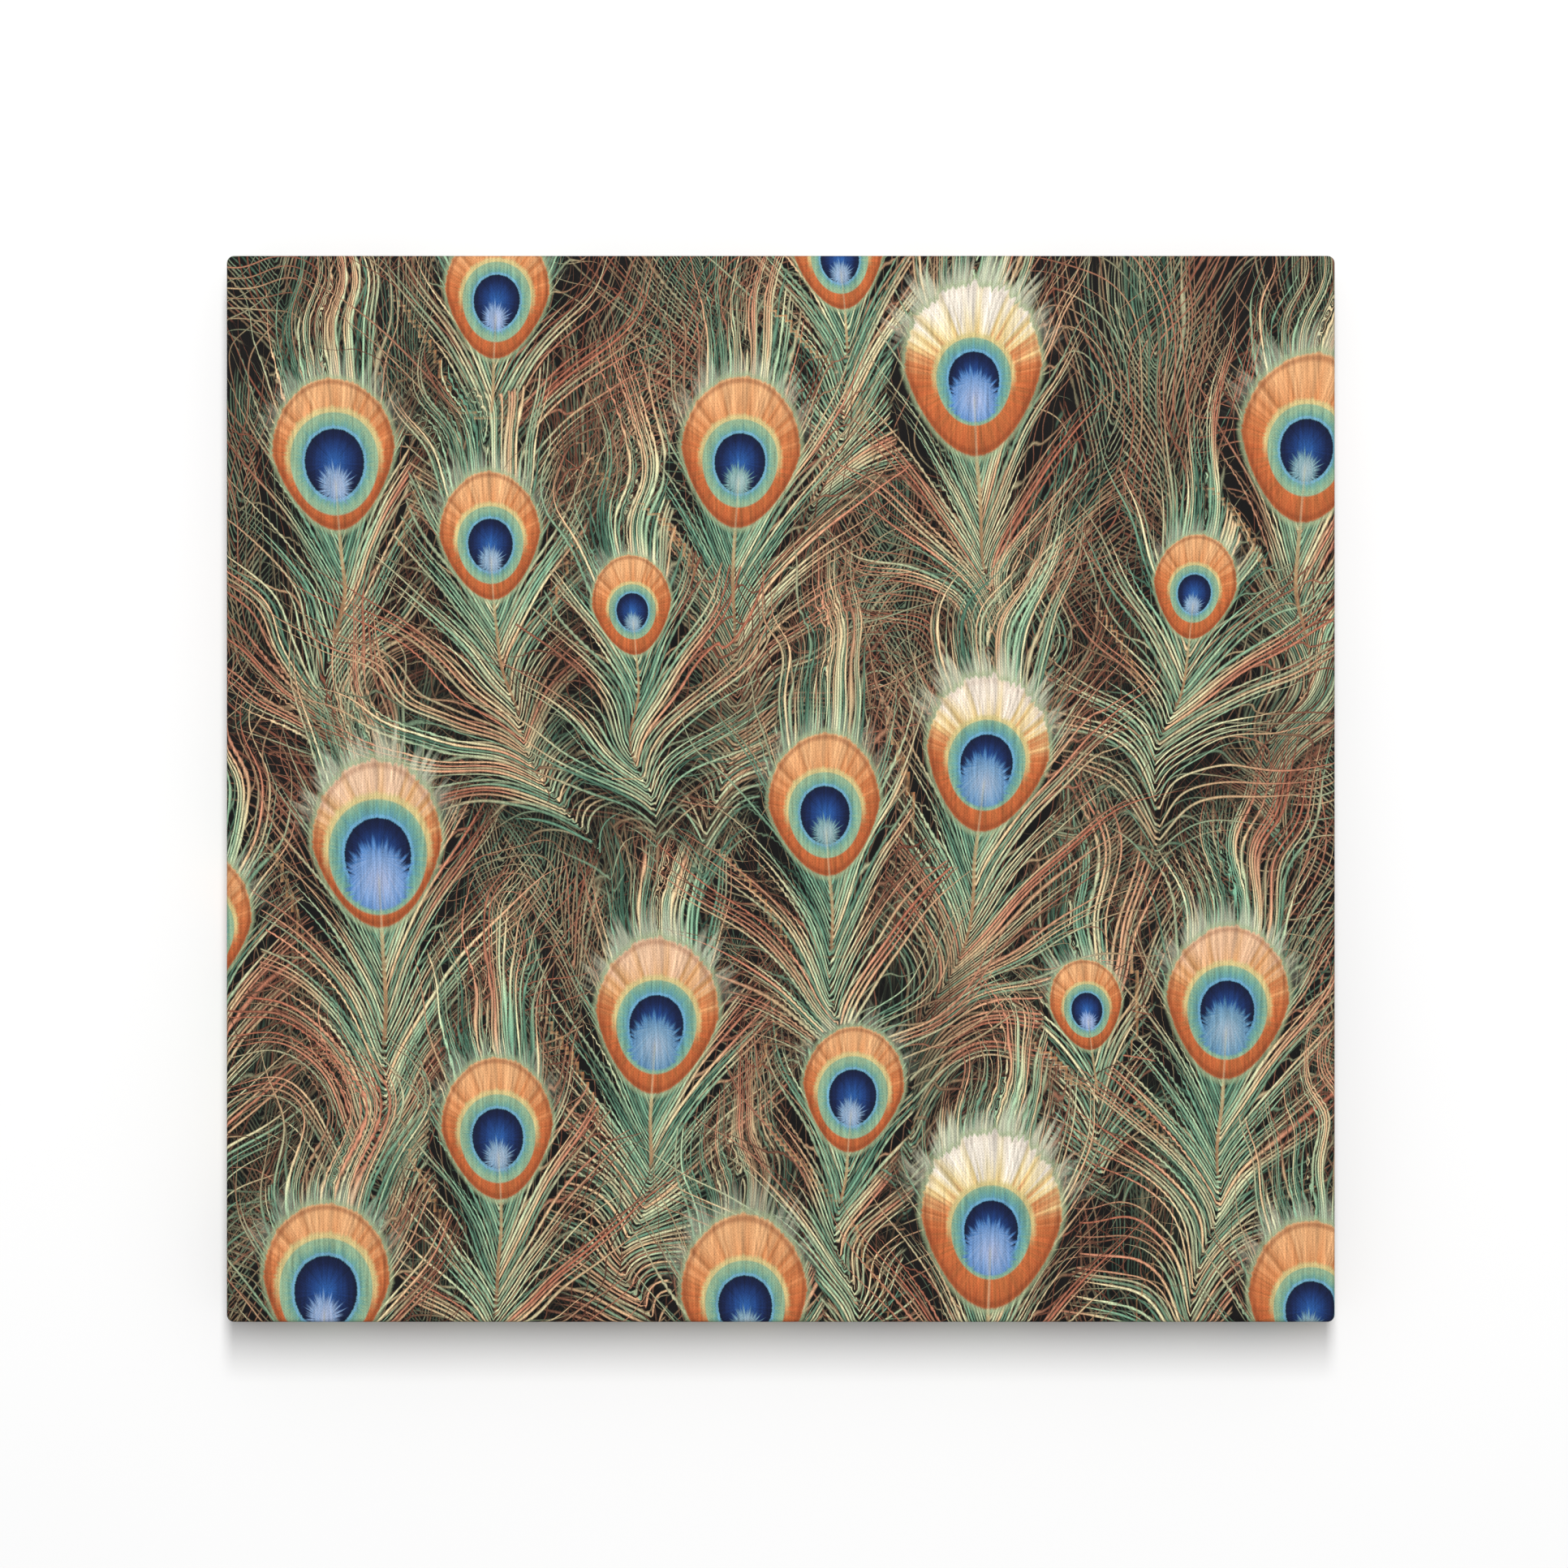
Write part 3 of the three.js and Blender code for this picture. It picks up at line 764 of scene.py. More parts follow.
def raw_canvas():
    material, paint, shader = new_material("raw_canvas", 0.9, Sheen_Weight=0.15)
    x, y, _ = paint.split(paint.field("cloth"))
    flat = paint.point(x, y)
    weave = weave_of(paint, x, y)
    slub = paint.noise(flat, 0.8, 2.0)
    # Painted shade in the hollows of the weave, with the slubs' own lighter and darker tone.
    light = paint.fit(weave, 0.2, paint.fit(slub, 0.3, 0.7))
    colour = paint.shade(paint.ramp(slub, [(0.3, "#d9cfba"), (0.7, "#ebe4d4")]), light)
    paint.coat(shader, colour, weave, 0.5)
    return material


def cotton_thread():
    material, paint, shader = new_material("cotton_thread", 0.9, Sheen_Weight=0.2)
    where = paint.add("ShaderNodeTexCoord").outputs["Object"]
    colour = paint.ramp(paint.noise(where, 900.0, 1.0), [(0.3, "#d5cab4"), (0.7, "#f0eadb")])
    paint.coat(shader, colour)
    return material


# ---------------------------------------------------------------------------
# The canvas
# ---------------------------------------------------------------------------


def outline_ring():
    """Points round the panel: centre of curvature and outward direction of each."""
    centre_x, centre_y = WIDTH / 2 - CORNER_RADIUS, HEIGHT / 2 - CORNER_RADIUS
    xs, ys = face_grid()
    centres, normals = [], []

    def side(points, angle):
        for point in points:
            centres.append(point)
            normals.append((math.cos(angle), math.sin(angle)))

    def corner(cx, cy, start):
        for i in range(1, CORNER_STEPS):
            angle = start + i / CORNER_STEPS * math.pi / 2
            centres.append((cx, cy))
            normals.append((math.cos(angle), math.sin(angle)))

    side([(centre_x, y) for y in ys], 0)
    corner(centre_x, centre_y, 0)
    side([(x, centre_y) for x in reversed(xs)], math.pi / 2)
    corner(-centre_x, centre_y, math.pi / 2)
    side([(-centre_x, y) for y in reversed(ys)], math.pi)
    corner(-centre_x, -centre_y, math.pi)
    side([(x, -centre_y) for x in xs], 1.5 * math.pi)
    corner(centre_x, -centre_y, 1.5 * math.pi)
    return np.array(centres), np.array(normals)


def face_grid():
    """The face's grid lines, between the corners' centres of curvature."""
    half_x, half_y = WIDTH / 2 - CORNER_RADIUS, HEIGHT / 2 - CORNER_RADIUS
    columns = round(2 * half_x / FACE_STEP)
    rows = round(2 * half_y / FACE_STEP)
    xs = list(np.linspace(-half_x, half_x, columns + 1))
    return xs, list(np.linspace(-half_y, half_y, rows + 1))


def ring_at(centres, normals, inset):
    """The outline moved in by inset. Past the corner radius it is mitred."""
    if inset <= CORNER_RADIUS:
        return centres + normals * (CORNER_RADIUS - inset)
    half = np.array([WIDTH / 2, HEIGHT / 2])
    return centres * (half - inset) / (half - CORNER_RADIUS)


def turned_rows():
    """From the face's rim round the side to the raw edge: inset, height, cloth past the rim."""
    arc = [i / ARC_STEPS * math.pi / 2 for i in range(1, ARC_STEPS + 1)]
    quarter = EDGE_RADIUS * math.pi / 2
    rows = [(EDGE_RADIUS, DEPTH, -EDGE_RADIUS)]
    for angle in arc:
        rows.append((
            EDGE_RADIUS - EDGE_RADIUS * math.sin(angle),
            DEPTH - EDGE_RADIUS + EDGE_RADIUS * math.cos(angle),
            EDGE_RADIUS * angle - EDGE_RADIUS,
        ))
    side = DEPTH - 2 * EDGE_RADIUS
    start = quarter - EDGE_RADIUS
    for i in range(1, SIDE_STEPS + 1):
        down = side * i / SIDE_STEPS
        rows.append((0.0, DEPTH - EDGE_RADIUS - down, start + down))
    start += side
    for angle in arc:
        rows.append((
            EDGE_RADIUS - EDGE_RADIUS * math.cos(angle),
            EDGE_RADIUS - EDGE_RADIUS * math.sin(angle),
            start + EDGE_RADIUS * angle,
        ))
    start += quarter
    for inset in [CORNER_RADIUS, *np.linspace(FIRST_MARGIN_ROW, BACK_MARGIN, MARGIN_ROWS)]:
        rows.append((inset, 0.0, start + inset - EDGE_RADIUS))
    return rows


def staple_places():
    """Middle of each staple on the back, in panel coordinates, and its turn in degrees."""
    places = []
    for i in range(4 * (STAPLES_PER_SIDE + 1)):
        low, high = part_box(f"staple_{i + 1:02d}")
        x = (low.x + high.x) / 2 / MM - MIDDLE_X
        y = (low.z + high.z) / 2 / MM - MIDDLE_Z
        side, place = divmod(i, STAPLES_PER_SIDE + 1)
        turn = 45 if place == STAPLES_PER_SIDE else STAPLE_LEANS[i % len(STAPLE_LEANS)]
        places.append((x, y, 90 * side + turn))
    return places


def from_staple(x, y):
    """Distance to the nearest staple."""
    nearest = np.full(x.shape, 1e9)
    for sx, sy, _ in staple_places():
        nearest = np.minimum(nearest, np.hypot(x - sx, y - sy))
    return nearest


def lift_off_bar(x, y, inset):
    """How far the turned margin stands off the bar: pinned at the staples, loose between."""
    free = smooth(from_staple(x, y), 4, 20)
    ripple = 0.5 + 0.5 * wander(x, y, 22, 7)
    return free * smooth(inset, 3, BACK_MARGIN) * (0.25 + 0.9 * np.clip(ripple, 0, 1))


FOLD_WIDTH = 17.0  # of a corner's pleat, where it ends at the raw edge
FOLD_ROWS, FOLD_COLUMNS = 14, 6
FOLD_TIP = 1.6  # from the corner of the back
FOLD_END = BACK_MARGIN - 0.4
FOLD_PRESSED = 0.25  # its thickness under a staple
FOLD_PUFF = 0.4  # what it gains away from one
FOLD_SUNK = 0.2  # into the margin under it


def corner_fold(sx, sy):
    """The spare cloth of one corner, folded flat to one side: a closed flap over the mitre.
    Returns its points, its place in the flap (0 to 1 along and across) and its faces."""
    along, across = np.meshgrid(
        np.linspace(0, 1, FOLD_ROWS + 1), np.linspace(0, 1, FOLD_COLUMNS + 1), indexing="ij"
    )
    down = mix(FOLD_TIP, FOLD_END, along)
    right = down + across * along * FOLD_WIDTH
    x, y = sx * (WIDTH / 2 - right), sy * (HEIGHT / 2 - down)
    free = from_staple(x, y)
    thick = mix(FOLD_PRESSED, 2 * CLOTH, smooth(free, 3, 9))
    thick = thick + FOLD_PUFF * along * smooth(free, 6, 16)
    under = -lift_off_bar(x, y, down)
    flat = np.stack([x, y, under - thick], -1).reshape(-1, 3)
    inner = np.stack([x, y, under + FOLD_SUNK], -1).reshape(-1, 3)
    place = np.stack([along, across], -1).reshape(-1, 2)
    grid = np.arange(x.size).reshape(x.shape)
    quads = np.stack([grid[:-1, :-1], grid[1:, :-1], grid[1:, 1:], grid[:-1, 1:]], -1)
    quads = quads.reshape(-1, 4)
    rim = np.concatenate([grid[:-1, 0], grid[-1, :-1], grid[:0:-1, -1], grid[0, :0:-1]])
    following = np.roll(rim, -1)
    walls = np.stack([following, rim, rim + x.size, following + x.size], -1)
    faces = np.concatenate([quads, quads[:, ::-1] + x.size, walls])
    if sx * sy > 0:
        faces = faces[:, ::-1]
    return np.concatenate([flat, inner]), np.concatenate([place, place]), faces.tolist()


def canvas_mesh():
    """The outer skin with the print, the inner skin, the raw edge between them and the corner
    folds. Where each point lies for baking is kept as place: row and position in its part."""
    xs, ys = face_grid()
    centres, normals = outline_ring()
    count = len(centres)
    points, cloth, faces = [], [], []
    place = []

    # the face
    gx, gy = np.meshgrid(xs, ys)
    rows, columns = gx.shape
    points.append(np.stack([gx, gy, np.full_like(gx, DEPTH)], -1).reshape(-1, 3))
    cloth.append(np.stack([gx, gy, np.ones_like(gx)], -1).reshape(-1, 3))
    place.append(np.zeros((gx.size, 2)))
    index = np.arange(rows * columns).reshape(rows, columns)
    quads = np.stack([index[:-1, :-1], index[:-1, 1:], index[1:, 1:], index[1:, :-1]], -1)
    faces += quads.reshape(-1, 4).tolist()

    # the grid's own border, in the ring's order
    border = np.concatenate([
        index[:, -1], np.repeat(index[-1, -1], CORNER_STEPS - 1),
        index[-1, ::-1], np.repeat(index[-1, 0], CORNER_STEPS - 1),
        index[::-1, 0], np.repeat(index[0, 0], CORNER_STEPS - 1),
        index[0, :], np.repeat(index[0, -1], CORNER_STEPS - 1),
    ])

    def add_ring(inset, z, past, lift=0.0, row=0):
        ring = ring_at(centres, normals, inset)
        flat = ring + normals * (inset + past)
        height = np.full(count, z) - lift * lift_off_bar(ring[:, 0], ring[:, 1], inset)
        first = sum(len(p) for p in points)
        points.append(np.column_stack([ring, height]))
        place.append(np.column_stack([np.full(count, row), np.arange(count) / count]))
        printed = np.full(count, 1 - smooth(past, DEPTH + 3, DEPTH + 9))
        cloth.append(np.column_stack([flat, printed]))
        return np.arange(first, first + count)

    def join(a, b):
        following = np.roll(np.arange(count), -1)
        faces.extend(np.stack([a, b, b[following], a[following]], -1).tolist())

    last = border
    for inset, z, past in turned_rows():
        ring = add_ring(inset, z, past, 1.0)
        join(last, ring)
        last = ring
    outer_faces = len(faces)

    # the inner skin, from the raw edge back to the face
    inner_rows = [
        (BACK_MARGIN, CLOTH, TURNED, 1.0),
        (BACK_MARGIN * 0.6, CLOTH, TURNED - BACK_MARGIN * 0.4, 1.0),
        (CORNER_RADIUS, CLOTH, DEPTH, 0.0),
        (CLOTH, CLOTH, DEPTH, 0.0),
        (CLOTH, DEPTH - CLOTH, 0.0, 0.0),
    ]
    for row, values in enumerate(inner_rows):
        ring = add_ring(*values, row=(row + 1) / len(inner_rows))
        join(last, ring)
        last = ring
    faces.append(last.tolist()[::-1])
    inner_faces = len(faces)

    for number, (sx, sy) in enumerate([(1, 1), (-1, 1), (-1, -1), (1, -1)]):
        first = sum(len(p) for p in points)
        fold, where, fold_faces = corner_fold(sx, sy)
        points.append(fold)
        down = HEIGHT / 2 - np.abs(fold[:, 1])
        flat_y = sy * (HEIGHT / 2 + DEPTH + down)
        cloth.append(np.column_stack([fold[:, 0], flat_y, 1 - smooth(down, 3, 9)]))
        place.append(where * (1, 0.9) + (0, number))
        faces.extend([[corner + first for corner in face] for face in fold_faces])
    parts = (outer_faces, inner_faces)
    return np.concatenate(points), np.concatenate(cloth), np.concatenate(place), faces, parts


def merge_doubles(points, faces):
    """Faces without repeated corners, and the index of the point that each one keeps."""
    keys = np.round(points, 4)
    _, first, where = np.unique(keys, axis=0, return_index=True, return_inverse=True)
    where = where.reshape(-1)
    kept = []
    for number, face in enumerate(faces):
        corners = [int(where[i]) for i in face]
        corners = [c for i, c in enumerate(corners) if c != corners[i - 1]]
        if len(set(corners)) > 2:
            kept.append((number, corners))
    return first, kept


def add_object(name, data):
    piece = bpy.data.objects.new(name, data)
    bpy.context.scene.collection.objects.link(piece)
    return piece


def mesh_object(name, points, faces, materials):
    mesh = bpy.data.meshes.new(name)
    mesh.from_pydata([tuple(p) for p in points], [], faces)
    for material in materials:
        mesh.materials.append(material)
    return add_object(name, mesh)


BAKED_FACE = 0.41  # half of the face's share of the baked picture's width
BAKED_SIDE = 0.045
BAKED_MARGIN = 0.012
BAKED_GAP = 0.005  # at the picture's edge
STRIP_LEFT, STRIP_WIDTH = 0.952, 0.04  # beside it: the inner skin and the folds


def flat_share(value, half):
    """Cloth coordinate to a share of the baked picture: most of it goes to the face."""
    known = [0, half, half + DEPTH, half + TURNED]
    shares = [0, BAKED_FACE, BAKED_FACE + BAKED_SIDE, BAKED_FACE + BAKED_SIDE + BAKED_MARGIN]
    return np.sign(value) * np.interp(np.abs(value), known, shares)


def lay_out_for_baking(mesh, numbers, cloth, place, parts):
    """A map for baking alone: the cloth laid flat, then a strip with the rest."""
    outer_faces, inner_faces = parts
    corners = np.zeros(len(mesh.loops), int)
    mesh.loops.foreach_get("vertex_index", corners)
    sizes = np.zeros(len(mesh.polygons), int)
    mesh.polygons.foreach_get("loop_total", sizes)
    number = np.repeat(numbers, sizes)
    half = BAKED_GAP + BAKED_FACE + BAKED_SIDE + BAKED_MARGIN
    x, y = cloth[corners, 0], cloth[corners, 1]
    row, turn = place[corners, 0], place[corners, 1]
    outer = np.stack([half + flat_share(x, WIDTH / 2), 0.5 + flat_share(y, HEIGHT / 2)], -1)
    far = np.repeat(np.maximum.reduceat(turn, np.cumsum(sizes) - sizes), sizes)
    ring_turn = np.where((far > 0.9) & (turn < 0.1), turn + 1, turn)
    rings = np.stack([STRIP_LEFT + STRIP_WIDTH * row, 0.57 + 0.3 * ring_turn], -1)
    right = STRIP_LEFT + STRIP_WIDTH * (x / WIDTH + 0.5)
    back = np.stack([right, 0.02 + 0.5 * (y / HEIGHT + 0.5)], -1)
    folds = np.stack([STRIP_LEFT + STRIP_WIDTH * row, 0.9 + 0.022 * turn], -1)
    uv = np.where((number < outer_faces)[:, None], outer, rings)
    uv = np.where((number == inner_faces - 1)[:, None], back, uv)
    uv = np.where((number >= inner_faces)[:, None], folds, uv)
    layer = mesh.uv_layers.new(name="OFBake")
    layer.uv.foreach_set("vector", np.clip(uv, 0, 1).astype(np.float32).ravel())


def make_canvas(materials):
    points, cloth, place, faces, parts = canvas_mesh()
    first, kept = merge_doubles(points, faces)
    points, cloth, place = points[first], cloth[first], place[first]
    world = to_frame(points[:, 0], points[:, 1], points[:, 2])
    canvas = mesh_object("printed_canvas", world, [face for _, face in kept], materials)
    mesh = canvas.data
    for polygon, (number, _) in zip(mesh.polygons, kept):
        polygon.material_index = 1 if parts[0] <= number < parts[1] else 0
        polygon.use_smooth = number < parts[1]
    lay_out_for_baking(mesh, [number for number, _ in kept], cloth, place, parts)
    return canvas, cloth


def set_vectors(mesh, name, values):
    attribute = mesh.attributes.new(name, "FLOAT_VECTOR", "POINT")
    attribute.data.foreach_set("vector", np.ascontiguousarray(values, np.float32).ravel())


def grid_values(x, y, fields, cloth):
    """Fields on a regular grid, read off at the cloth coordinates of the mesh's points."""
    column = np.clip((cloth[:, 0] - x[0]) / (x[1] - x[0]), 0, len(x) - 1.001)
    row = np.clip((cloth[:, 1] - y[0]) / (y[1] - y[0]), 0, len(y) - 1.001)
    c, r = column.astype(int), row.astype(int)
    cs, rs = (column - c)[:, None], (row - r)[:, None]
    values = {}
    for name, field in fields.items():
        low = mix(field[r, c], field[r, c + 1], cs)
        high = mix(field[r + 1, c], field[r + 1, c + 1], cs)
        values[name] = mix(low, high, rs)
    return values


def print_on(canvas, cloth):
    """Gives the canvas its cloth coordinates and the print's fields."""
    xs, ys = face_grid()
    step_x, step_y = xs[1] - xs[0], ys[1] - ys[0]
    more = math.ceil(TURNED / FACE_STEP)
    x = xs[0] + step_x * np.arange(-more, len(xs) + more)
    y = ys[0] + step_y * np.arange(-more, len(ys) + more)
    fields = print_fields(*np.meshgrid(x, y))
    set_vectors(canvas.data, "cloth", cloth)
    for name, values in grid_values(x, y, fields, cloth).items():
        set_vectors(canvas.data, name, values)


# ---------------------------------------------------------------------------
# Staples and loose threads
# ---------------------------------------------------------------------------


class Grower(Painter):
    """A Geometry Nodes tree in the making, with its named sizes."""

    def __init__(self, name, sizes):
        super().__init__(bpy.data.node_groups.new(name, "GeometryNodeTree"))
        face = self.tree.interface
        face.new_socket("Geometry", in_out="INPUT", socket_type="NodeSocketGeometry")
        face.new_socket("Material", in_out="INPUT", socket_type="NodeSocketMaterial")
        for size in sizes:
            face.new_socket(size, in_out="INPUT", socket_type="NodeSocketFloat")
        face.new_socket("Geometry", in_out="OUTPUT", socket_type="NodeSocketGeometry")
        self.given = self.tree.nodes.new("NodeGroupInput").outputs
        self.sizes = sizes

    def line(self, count):
        line = self.add("GeometryNodeMeshLine", {"Count": count, "Offset": (0, 0, 0)})
        return self.add("GeometryNodeMeshToCurve", {0: line.outputs[0]}).outputs[0]

    def place(self, geometry, **sockets):
        inputs = {"Geometry": geometry}
        inputs.update((key.title(), value) for key, value in sockets.items())
        return self.add("GeometryNodeSetPosition", inputs).outputs[0]

    def on_points(self, instance):
        """The instance on each point, turned by that point's own turn."""
        kind = "FLOAT_VECTOR"
        turn = self.add("GeometryNodeInputNamedAttribute", {"Name": "turn"}, data_type=kind)
        turn = self.add("FunctionNodeEulerToRotation", {0: turn.outputs["Attribute"]}).outputs[0]
        inputs = {"Points": self.given["Geometry"], "Instance": instance, "Rotation": turn}
        placed = self.add("GeometryNodeInstanceOnPoints", inputs).outputs[0]
        return self.add("GeometryNodeRealizeInstances", {0: placed}).outputs[0]

    def finish(self, geometry):
        inputs = {"Geometry": geometry, "Material": self.given["Material"]}
        painted = self.add("GeometryNodeSetMaterial", inputs).outputs[0]
        out = self.tree.nodes.new("NodeGroupOutput")
        self.tree.links.new(painted, out.inputs[0])

    def grow(self, name, points, turns, material):
        """Runs the tree on points, each with its turn, and leaves a plain mesh."""
        seed = mesh_object(name + "_seed", points, [], [])
        set_vectors(seed.data, "turn", turns)
        modifier = seed.modifiers.new("grow", "NODES")
        modifier.node_group = self.tree
        for item in self.tree.interface.items_tree:
            if item.in_out == "INPUT" and item.name in self.sizes:
                modifier[item.identifier] = float(self.sizes[item.name])
            if item.in_out == "INPUT" and item.name == "Material":
                modifier[item.identifier] = material
        graph = bpy.context.evaluated_depsgraph_get()
        mesh = bpy.data.meshes.new_from_object(seed.evaluated_get(graph), depsgraph=graph)
        mesh.name = name
        bpy.data.objects.remove(seed)
        return add_object(name, mesh)


def make_staples(material):
    """All staples: bent wire, crown on the canvas and legs in the pine."""
    sizes = {
        "Crown": (STAPLE_CROWN - WIRE_THICK) * MM,
        "Leg": (STAPLE_LEG - WIRE_THICK / 2) * MM,
        "Wire width": WIRE_WIDE * MM,
        "Wire thickness": WIRE_THICK * MM,
        "Bend": WIRE_BEND * MM,
    }
    grower = Grower("staples", sizes)
    given = grower.given
    number = grower.add("GeometryNodeInputIndex").outputs[0]
    right = grower.math("GREATER_THAN", number, 1.5)
    x = grower.times(grower.fit(right, 1.0, -0.5), given["Crown"])
    foot = grower.math("ABSOLUTE", grower.math("SUBTRACT", number, 1.5))
    foot = grower.math("GREATER_THAN", foot, 1.0)
    y = grower.times(grower.times(foot, given["Leg"]), -1.0)
    corner = grower.point(x, y)
    wire = grower.place(grower.line(4), position=corner)
    inputs = {"Curve": wire, "Radius": given["Bend"], "Count": 4}
    wire = grower.add("GeometryNodeFilletCurve", inputs, mode="POLY").outputs[0]
    inputs = {"Width": given["Wire thickness"], "Height": given["Wire width"]}
    profile = grower.add("GeometryNodeCurvePrimitiveQuadrilateral", inputs).outputs[0]
    inputs = {"Curve": wire, "Profile Curve": profile, "Fill Caps": True}
    staple = grower.add("GeometryNodeCurveToMesh", inputs).outputs[0]
    grower.finish(grower.on_points(staple))

    points, turns = [], []
    for i, (x, y, degrees) in enumerate(staple_places()):
        _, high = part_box(f"staple_{i + 1:02d}")
        points.append((x + MIDDLE_X, high.y / MM - WIRE_THICK / 2, y + MIDDLE_Z))
        turns.append((0.0, -math.radians(degrees), 0.0))
    piece = grower.grow("staples", np.array(points) * MM, turns, material)
    names = [f"staple_{i + 1:02d}" for i in range(len(points))]
    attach(piece, "root")
    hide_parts(*names)


THREAD_RADIUS = 0.11
THREAD_LENGTH = 3.4
THREAD_PITCH = 2.3  # along the raw edge
THREAD_CURL = 0.9
THREAD_POINTS = 7
THREAD_ROOT = 0.6  # where it starts, in from the raw edge


def make_threads(material):
    """Loose threads along the canvas's raw edges."""
    sizes = {
        "Length": THREAD_LENGTH * MM,
        "Radius": THREAD_RADIUS * MM,
        "Curl": THREAD_CURL * MM,
    }
    grower = Grower("loose_threads", sizes)
    given = grower.given
    number = grower.add("GeometryNodeInputIndex").outputs[0]
    share = grower.math("DIVIDE", number, THREAD_POINTS - 1.0)
    x = grower.times(share, given["Length"])
    line = grower.line(THREAD_POINTS)
    thread = grower.place(line, position=grower.point(x))
    thread = grower.on_points(thread)
    along = grower.add("GeometryNodeSplineParameter").outputs["Factor"]
    where = grower.add("GeometryNodeInputPosition").outputs[0]
    curl = grower.add("ShaderNodeTexNoise", {"Vector": where, "Scale": 420.0, "Detail": 0.0})
    inputs = {0: curl.outputs["Color"], 1: (0.5, 0.5, 0.5)}
    curl = grower.add("ShaderNodeVectorMath", inputs, operation="SUBTRACT").outputs[0]
    inputs = {0: curl, "Scale": grower.times(grower.times(along, 4.0), given["Curl"])}
    curl = grower.add("ShaderNodeVectorMath", inputs, operation="SCALE").outputs[0]
    thread = grower.place(thread, offset=curl)
    inputs = {"Radius": given["Radius"], "Resolution": 5}
    round_profile = grower.add("GeometryNodeCurvePrimitiveCircle", inputs).outputs[0]
    inputs = {"Curve": thread, "Profile Curve": round_profile, "Fill Caps": True}
    grower.finish(grower.add("GeometryNodeCurveToMesh", inputs).outputs[0])

    rng = np.random.default_rng(11)
    points, turns = [], []
    half = np.array([WIDTH / 2, HEIGHT / 2]) - BACK_MARGIN
    for side in range(4):
        run, out = (half[1], half[0]) if side % 2 == 0 else (half[0], half[1])
        angle = side * math.pi / 2
        c, s = math.cos(angle), math.sin(angle)
        for step in range(int(2 * run / THREAD_PITCH)):
            place = -run + (step + rng.uniform(0.1, 0.9)) * THREAD_PITCH
            root = out + THREAD_ROOT
            x, y = c * root - s * place, s * root + c * place
            lift = lift_off_bar(np.array([x]), np.array([y]), np.array([BACK_MARGIN]))[0]
            points.append(to_frame(x, y, rng.uniform(0.05, CLOTH - 0.05) - lift))
            tilt = rng.uniform(-0.5, 0.5)
            swing = math.pi - angle + rng.uniform(-0.6, 0.6)
            turns.append((tilt, swing, rng.uniform(-0.3, 0.3)))
    piece = grower.grow("loose_threads", points, turns, material)
    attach(piece, "root")
    return piece


# ---------------------------------------------------------------------------
# Pine, steel and brassed steel
# ---------------------------------------------------------------------------


def pine(name, grain):
    """Planed pine with its grain along one axis: 0 for X, 2 for Z."""
    material, paint, shader = new_material(name, 0.62)
    where = paint.add("ShaderNodeTexCoord").outputs["Object"]
    scale = [1 / MM, 1 / MM, 1 / MM]
    scale[grain] = 0.045 / MM
    place = paint.stretch(where, scale)
    bend = paint.noise(place, 0.06, 2.0)
    x, y, z = paint.split(place)
    across = paint.math("ADD", y, z if grain == 0 else x)
    rings = paint.fit(bend, 26.0, across)
    rings = paint.fit(paint.math("SINE", paint.times(rings, 1.15)), 0.5, 0.5)
    rings = paint.math("POWER", rings, 2.2)
    fibre = paint.noise(place, 2.2, 2.0)
    tone = paint.fit(fibre, 0.45, paint.times(rings, 0.6))
    colour = paint.ramp(tone, [(0.1, "#ecd3a6"), (0.45, "#ddba83"), (0.8, "#c2955a")])
    pores = paint.noise(place, 6.0, 0.0)
    colour = paint.shade(colour, paint.step(pores, 0.25, 0.4, 0.75, 1.0))
    paint.coat(shader, colour, tone, 0.4)
    return material


def sheet_metal(name, dark, light, roughness, scale):
    """Rolled metal with fine drawn lines and a little tarnish."""
    material, paint, shader = new_material(name, roughness, Metallic=1.0)
    where = paint.add("ShaderNodeTexCoord").outputs["Object"]
    drawn = paint.stretch(where, (1 / MM, 14 / MM, 14 / MM))
    lines = paint.noise(drawn, scale, 2.0)
    tarnish = paint.noise(where, 260.0, 3.0)
    tone = paint.fit(lines, 0.4, paint.fit(tarnish, 0.8, -0.1))
    colour = paint.ramp(tone, [(0.2, dark), (0.7, light)])
    paint.coat(shader, colour, lines, 0.3, 0.04)
    return material


def paint_node(name, material):
    """A CAD node keeps its shape and gets its finish."""
    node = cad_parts[name]
    for slot in node.material_slots:
        slot.material = material


# ---------------------------------------------------------------------------
# Stage, light and camera
# ---------------------------------------------------------------------------

PICTURE = 1932
FACE_LEFT, FACE_RIGHT = 279, 1645  # pixels of the picture
FACE_TOP, FACE_BOTTOM = 314, 1630
CAMERA_AWAY = 1500.0
WALL_GAP = 0.3
FLOOR_BELOW = 500
COVE_STEPS = 16
SENSOR = 36.0


def make_camera():
    """Square on to the face, so that the panel fills the same part of the picture."""
    per_pixel = WIDTH / (FACE_RIGHT - FACE_LEFT)
    seen = PICTURE * per_pixel
    right = (PICTURE / 2 - (FACE_LEFT + FACE_RIGHT) / 2) * per_pixel
    up = ((FACE_TOP + FACE_BOTTOM) / 2 - PICTURE / 2) * per_pixel
    data = bpy.data.cameras.new("camera")
    data.sensor_width = SENSOR
    data.lens = SENSOR * CAMERA_AWAY / seen
    camera = add_object("camera", data)
    camera.location = Vector(to_frame(right, up, DEPTH + CAMERA_AWAY))
    camera.rotation_euler = (math.pi / 2, 0, 0)
    bpy.context.scene.camera = camera


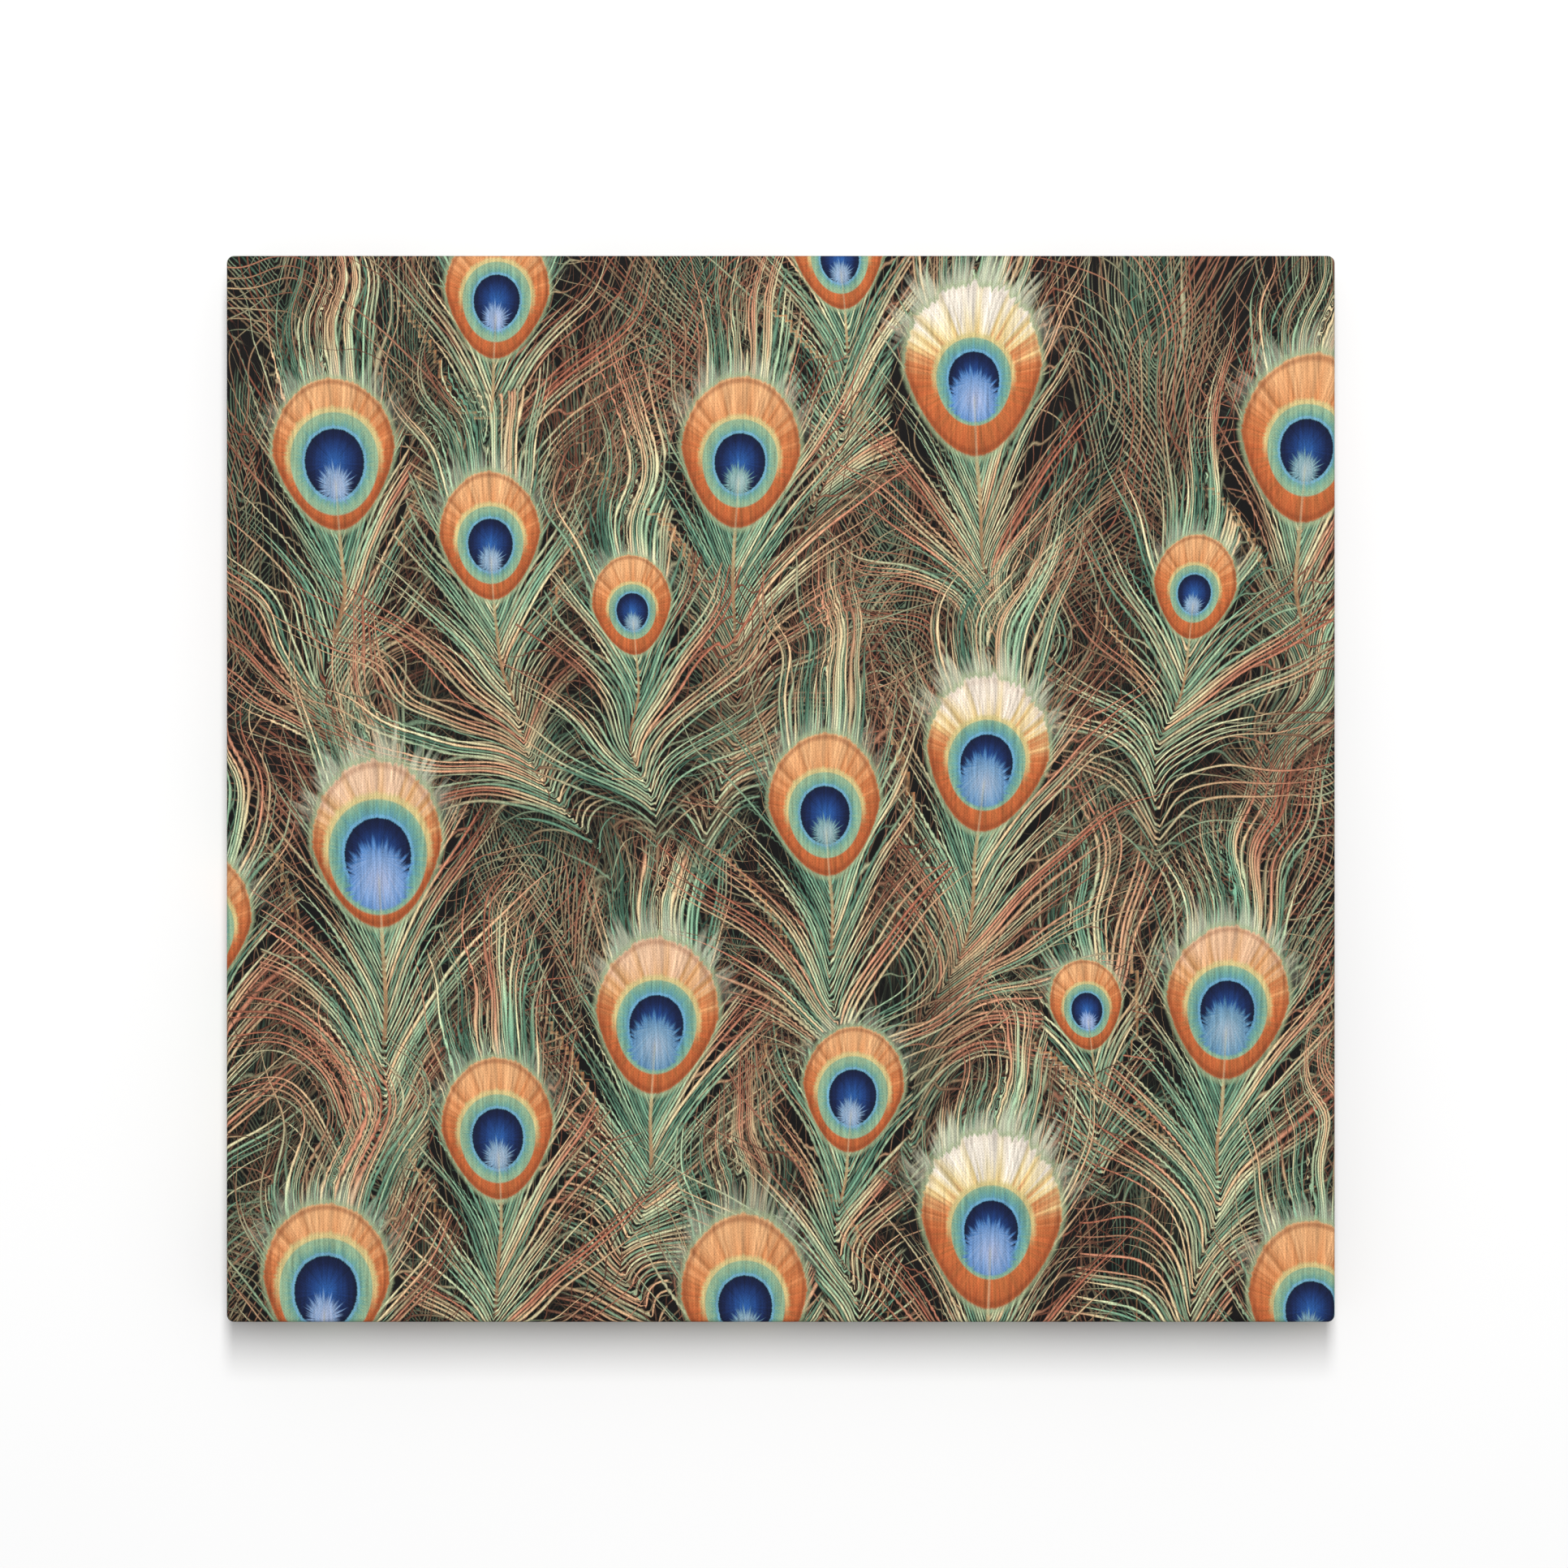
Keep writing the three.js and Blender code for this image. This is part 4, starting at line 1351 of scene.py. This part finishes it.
def stage_white():
    """Pale paint that can't be seen from behind."""
    material, paint, shader = new_material("stage_white", 0.9)
    shader.inputs["Base Color"].default_value = linear("#f4f4f4")
    shader.inputs["Specular IOR Level"].default_value = 0.0
    clear = paint.add("ShaderNodeBsdfTransparent")
    behind = paint.add("ShaderNodeNewGeometry").outputs["Backfacing"]
    both = paint.add("ShaderNodeMixShader", {0: behind, 1: shader.outputs[0], 2: clear.outputs[0]})
    output = paint.tree.nodes["Material Output"]
    paint.tree.links.new(both.outputs[0], output.inputs["Surface"])
    return material


def make_stage():
    """A pale wall just behind the panel that curves into a pale floor."""
    wall = cad_box[1][1] / MM + WALL_GAP
    floor = cad_box[0][2] / MM - FLOOR_BELOW
    cove, far, high = 200.0, 3000.0, 2500.0
    line = [(-far, floor)]
    for i in range(COVE_STEPS + 1):
        angle = i / COVE_STEPS * math.pi / 2
        line.append((wall - cove + cove * math.sin(angle), floor + cove - cove * math.cos(angle)))
    line.append((wall, high))
    points = []
    for y, z in line:
        points += [(-far * MM, y * MM, z * MM), (far * MM, y * MM, z * MM)]
    faces = [(2 * i, 2 * i + 1, 2 * i + 3, 2 * i + 2) for i in range(len(line) - 1)]
    stage = mesh_object("stage", points, faces, [stage_white()])
    for polygon in stage.data.polygons:
        polygon.use_smooth = True
    # The wall takes the panel's shadow and leaves the light that reaches its back.
    stage.visible_shadow = False
    stage.visible_diffuse = False
    stage.visible_glossy = False


LAMPS = [  # name, width and height in metres, watts, and where it stands from the panel
    ("key", 0.3, 1.3, 31, (0.02, -1.0, 0.35)),
    ("rear", 1.2, 1.2, 22, (-0.7, 1.0, 0.6)),
]
LAMP_AWAY = 1.9  # metres
FILL = 0.42  # of a white room all round


def make_lights():
    middle = Vector(to_frame(0.0, 0.0, DEPTH))
    for name, width, height, power, toward in LAMPS:
        light = bpy.data.lights.new(name, "AREA")
        light.shape = "RECTANGLE"
        light.size = width
        light.size_y = height
        light.energy = power
        lamp = add_object(name, light)
        toward = Vector(toward).normalized()
        lamp.location = middle + toward * LAMP_AWAY
        lamp.rotation_euler = toward.to_track_quat("Z", "Y").to_euler()
    world = bpy.data.worlds.new("studio")
    world.use_nodes = True
    background = world.node_tree.nodes["Background"]
    background.inputs["Color"].default_value = (1, 1, 1, 1)
    background.inputs["Strength"].default_value = FILL
    bpy.context.scene.world = world
    bpy.context.scene.view_settings.view_transform = "Standard"


make_camera()
make_stage()
make_lights()
raw = raw_canvas()
canvas, cloth = make_canvas([printed_canvas(), raw])
print_on(canvas, cloth)
threads = make_threads(cotton_thread())
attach(canvas, "root")
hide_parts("canvas")
BARS = ["stretcher_bar_top", "stretcher_bar_left", "stretcher_bar_bottom", "stretcher_bar_right"]
make_staples(sheet_metal("staple_steel", "#8e9296", "#c9ccd0", 0.32, 0.5))
level_pine, upright_pine = pine("level_pine", 0), pine("upright_pine", 2)
for bar in BARS:
    paint_node(bar, level_pine if bar.endswith(("top", "bottom")) else upright_pine)
brassed = sheet_metal("brassed_steel", "#9c7836", "#dcb768", 0.36, 0.4)
for node in ("sawtooth_hanger", "hanger_nail_left", "hanger_nail_right"):
    paint_node(node, brassed)
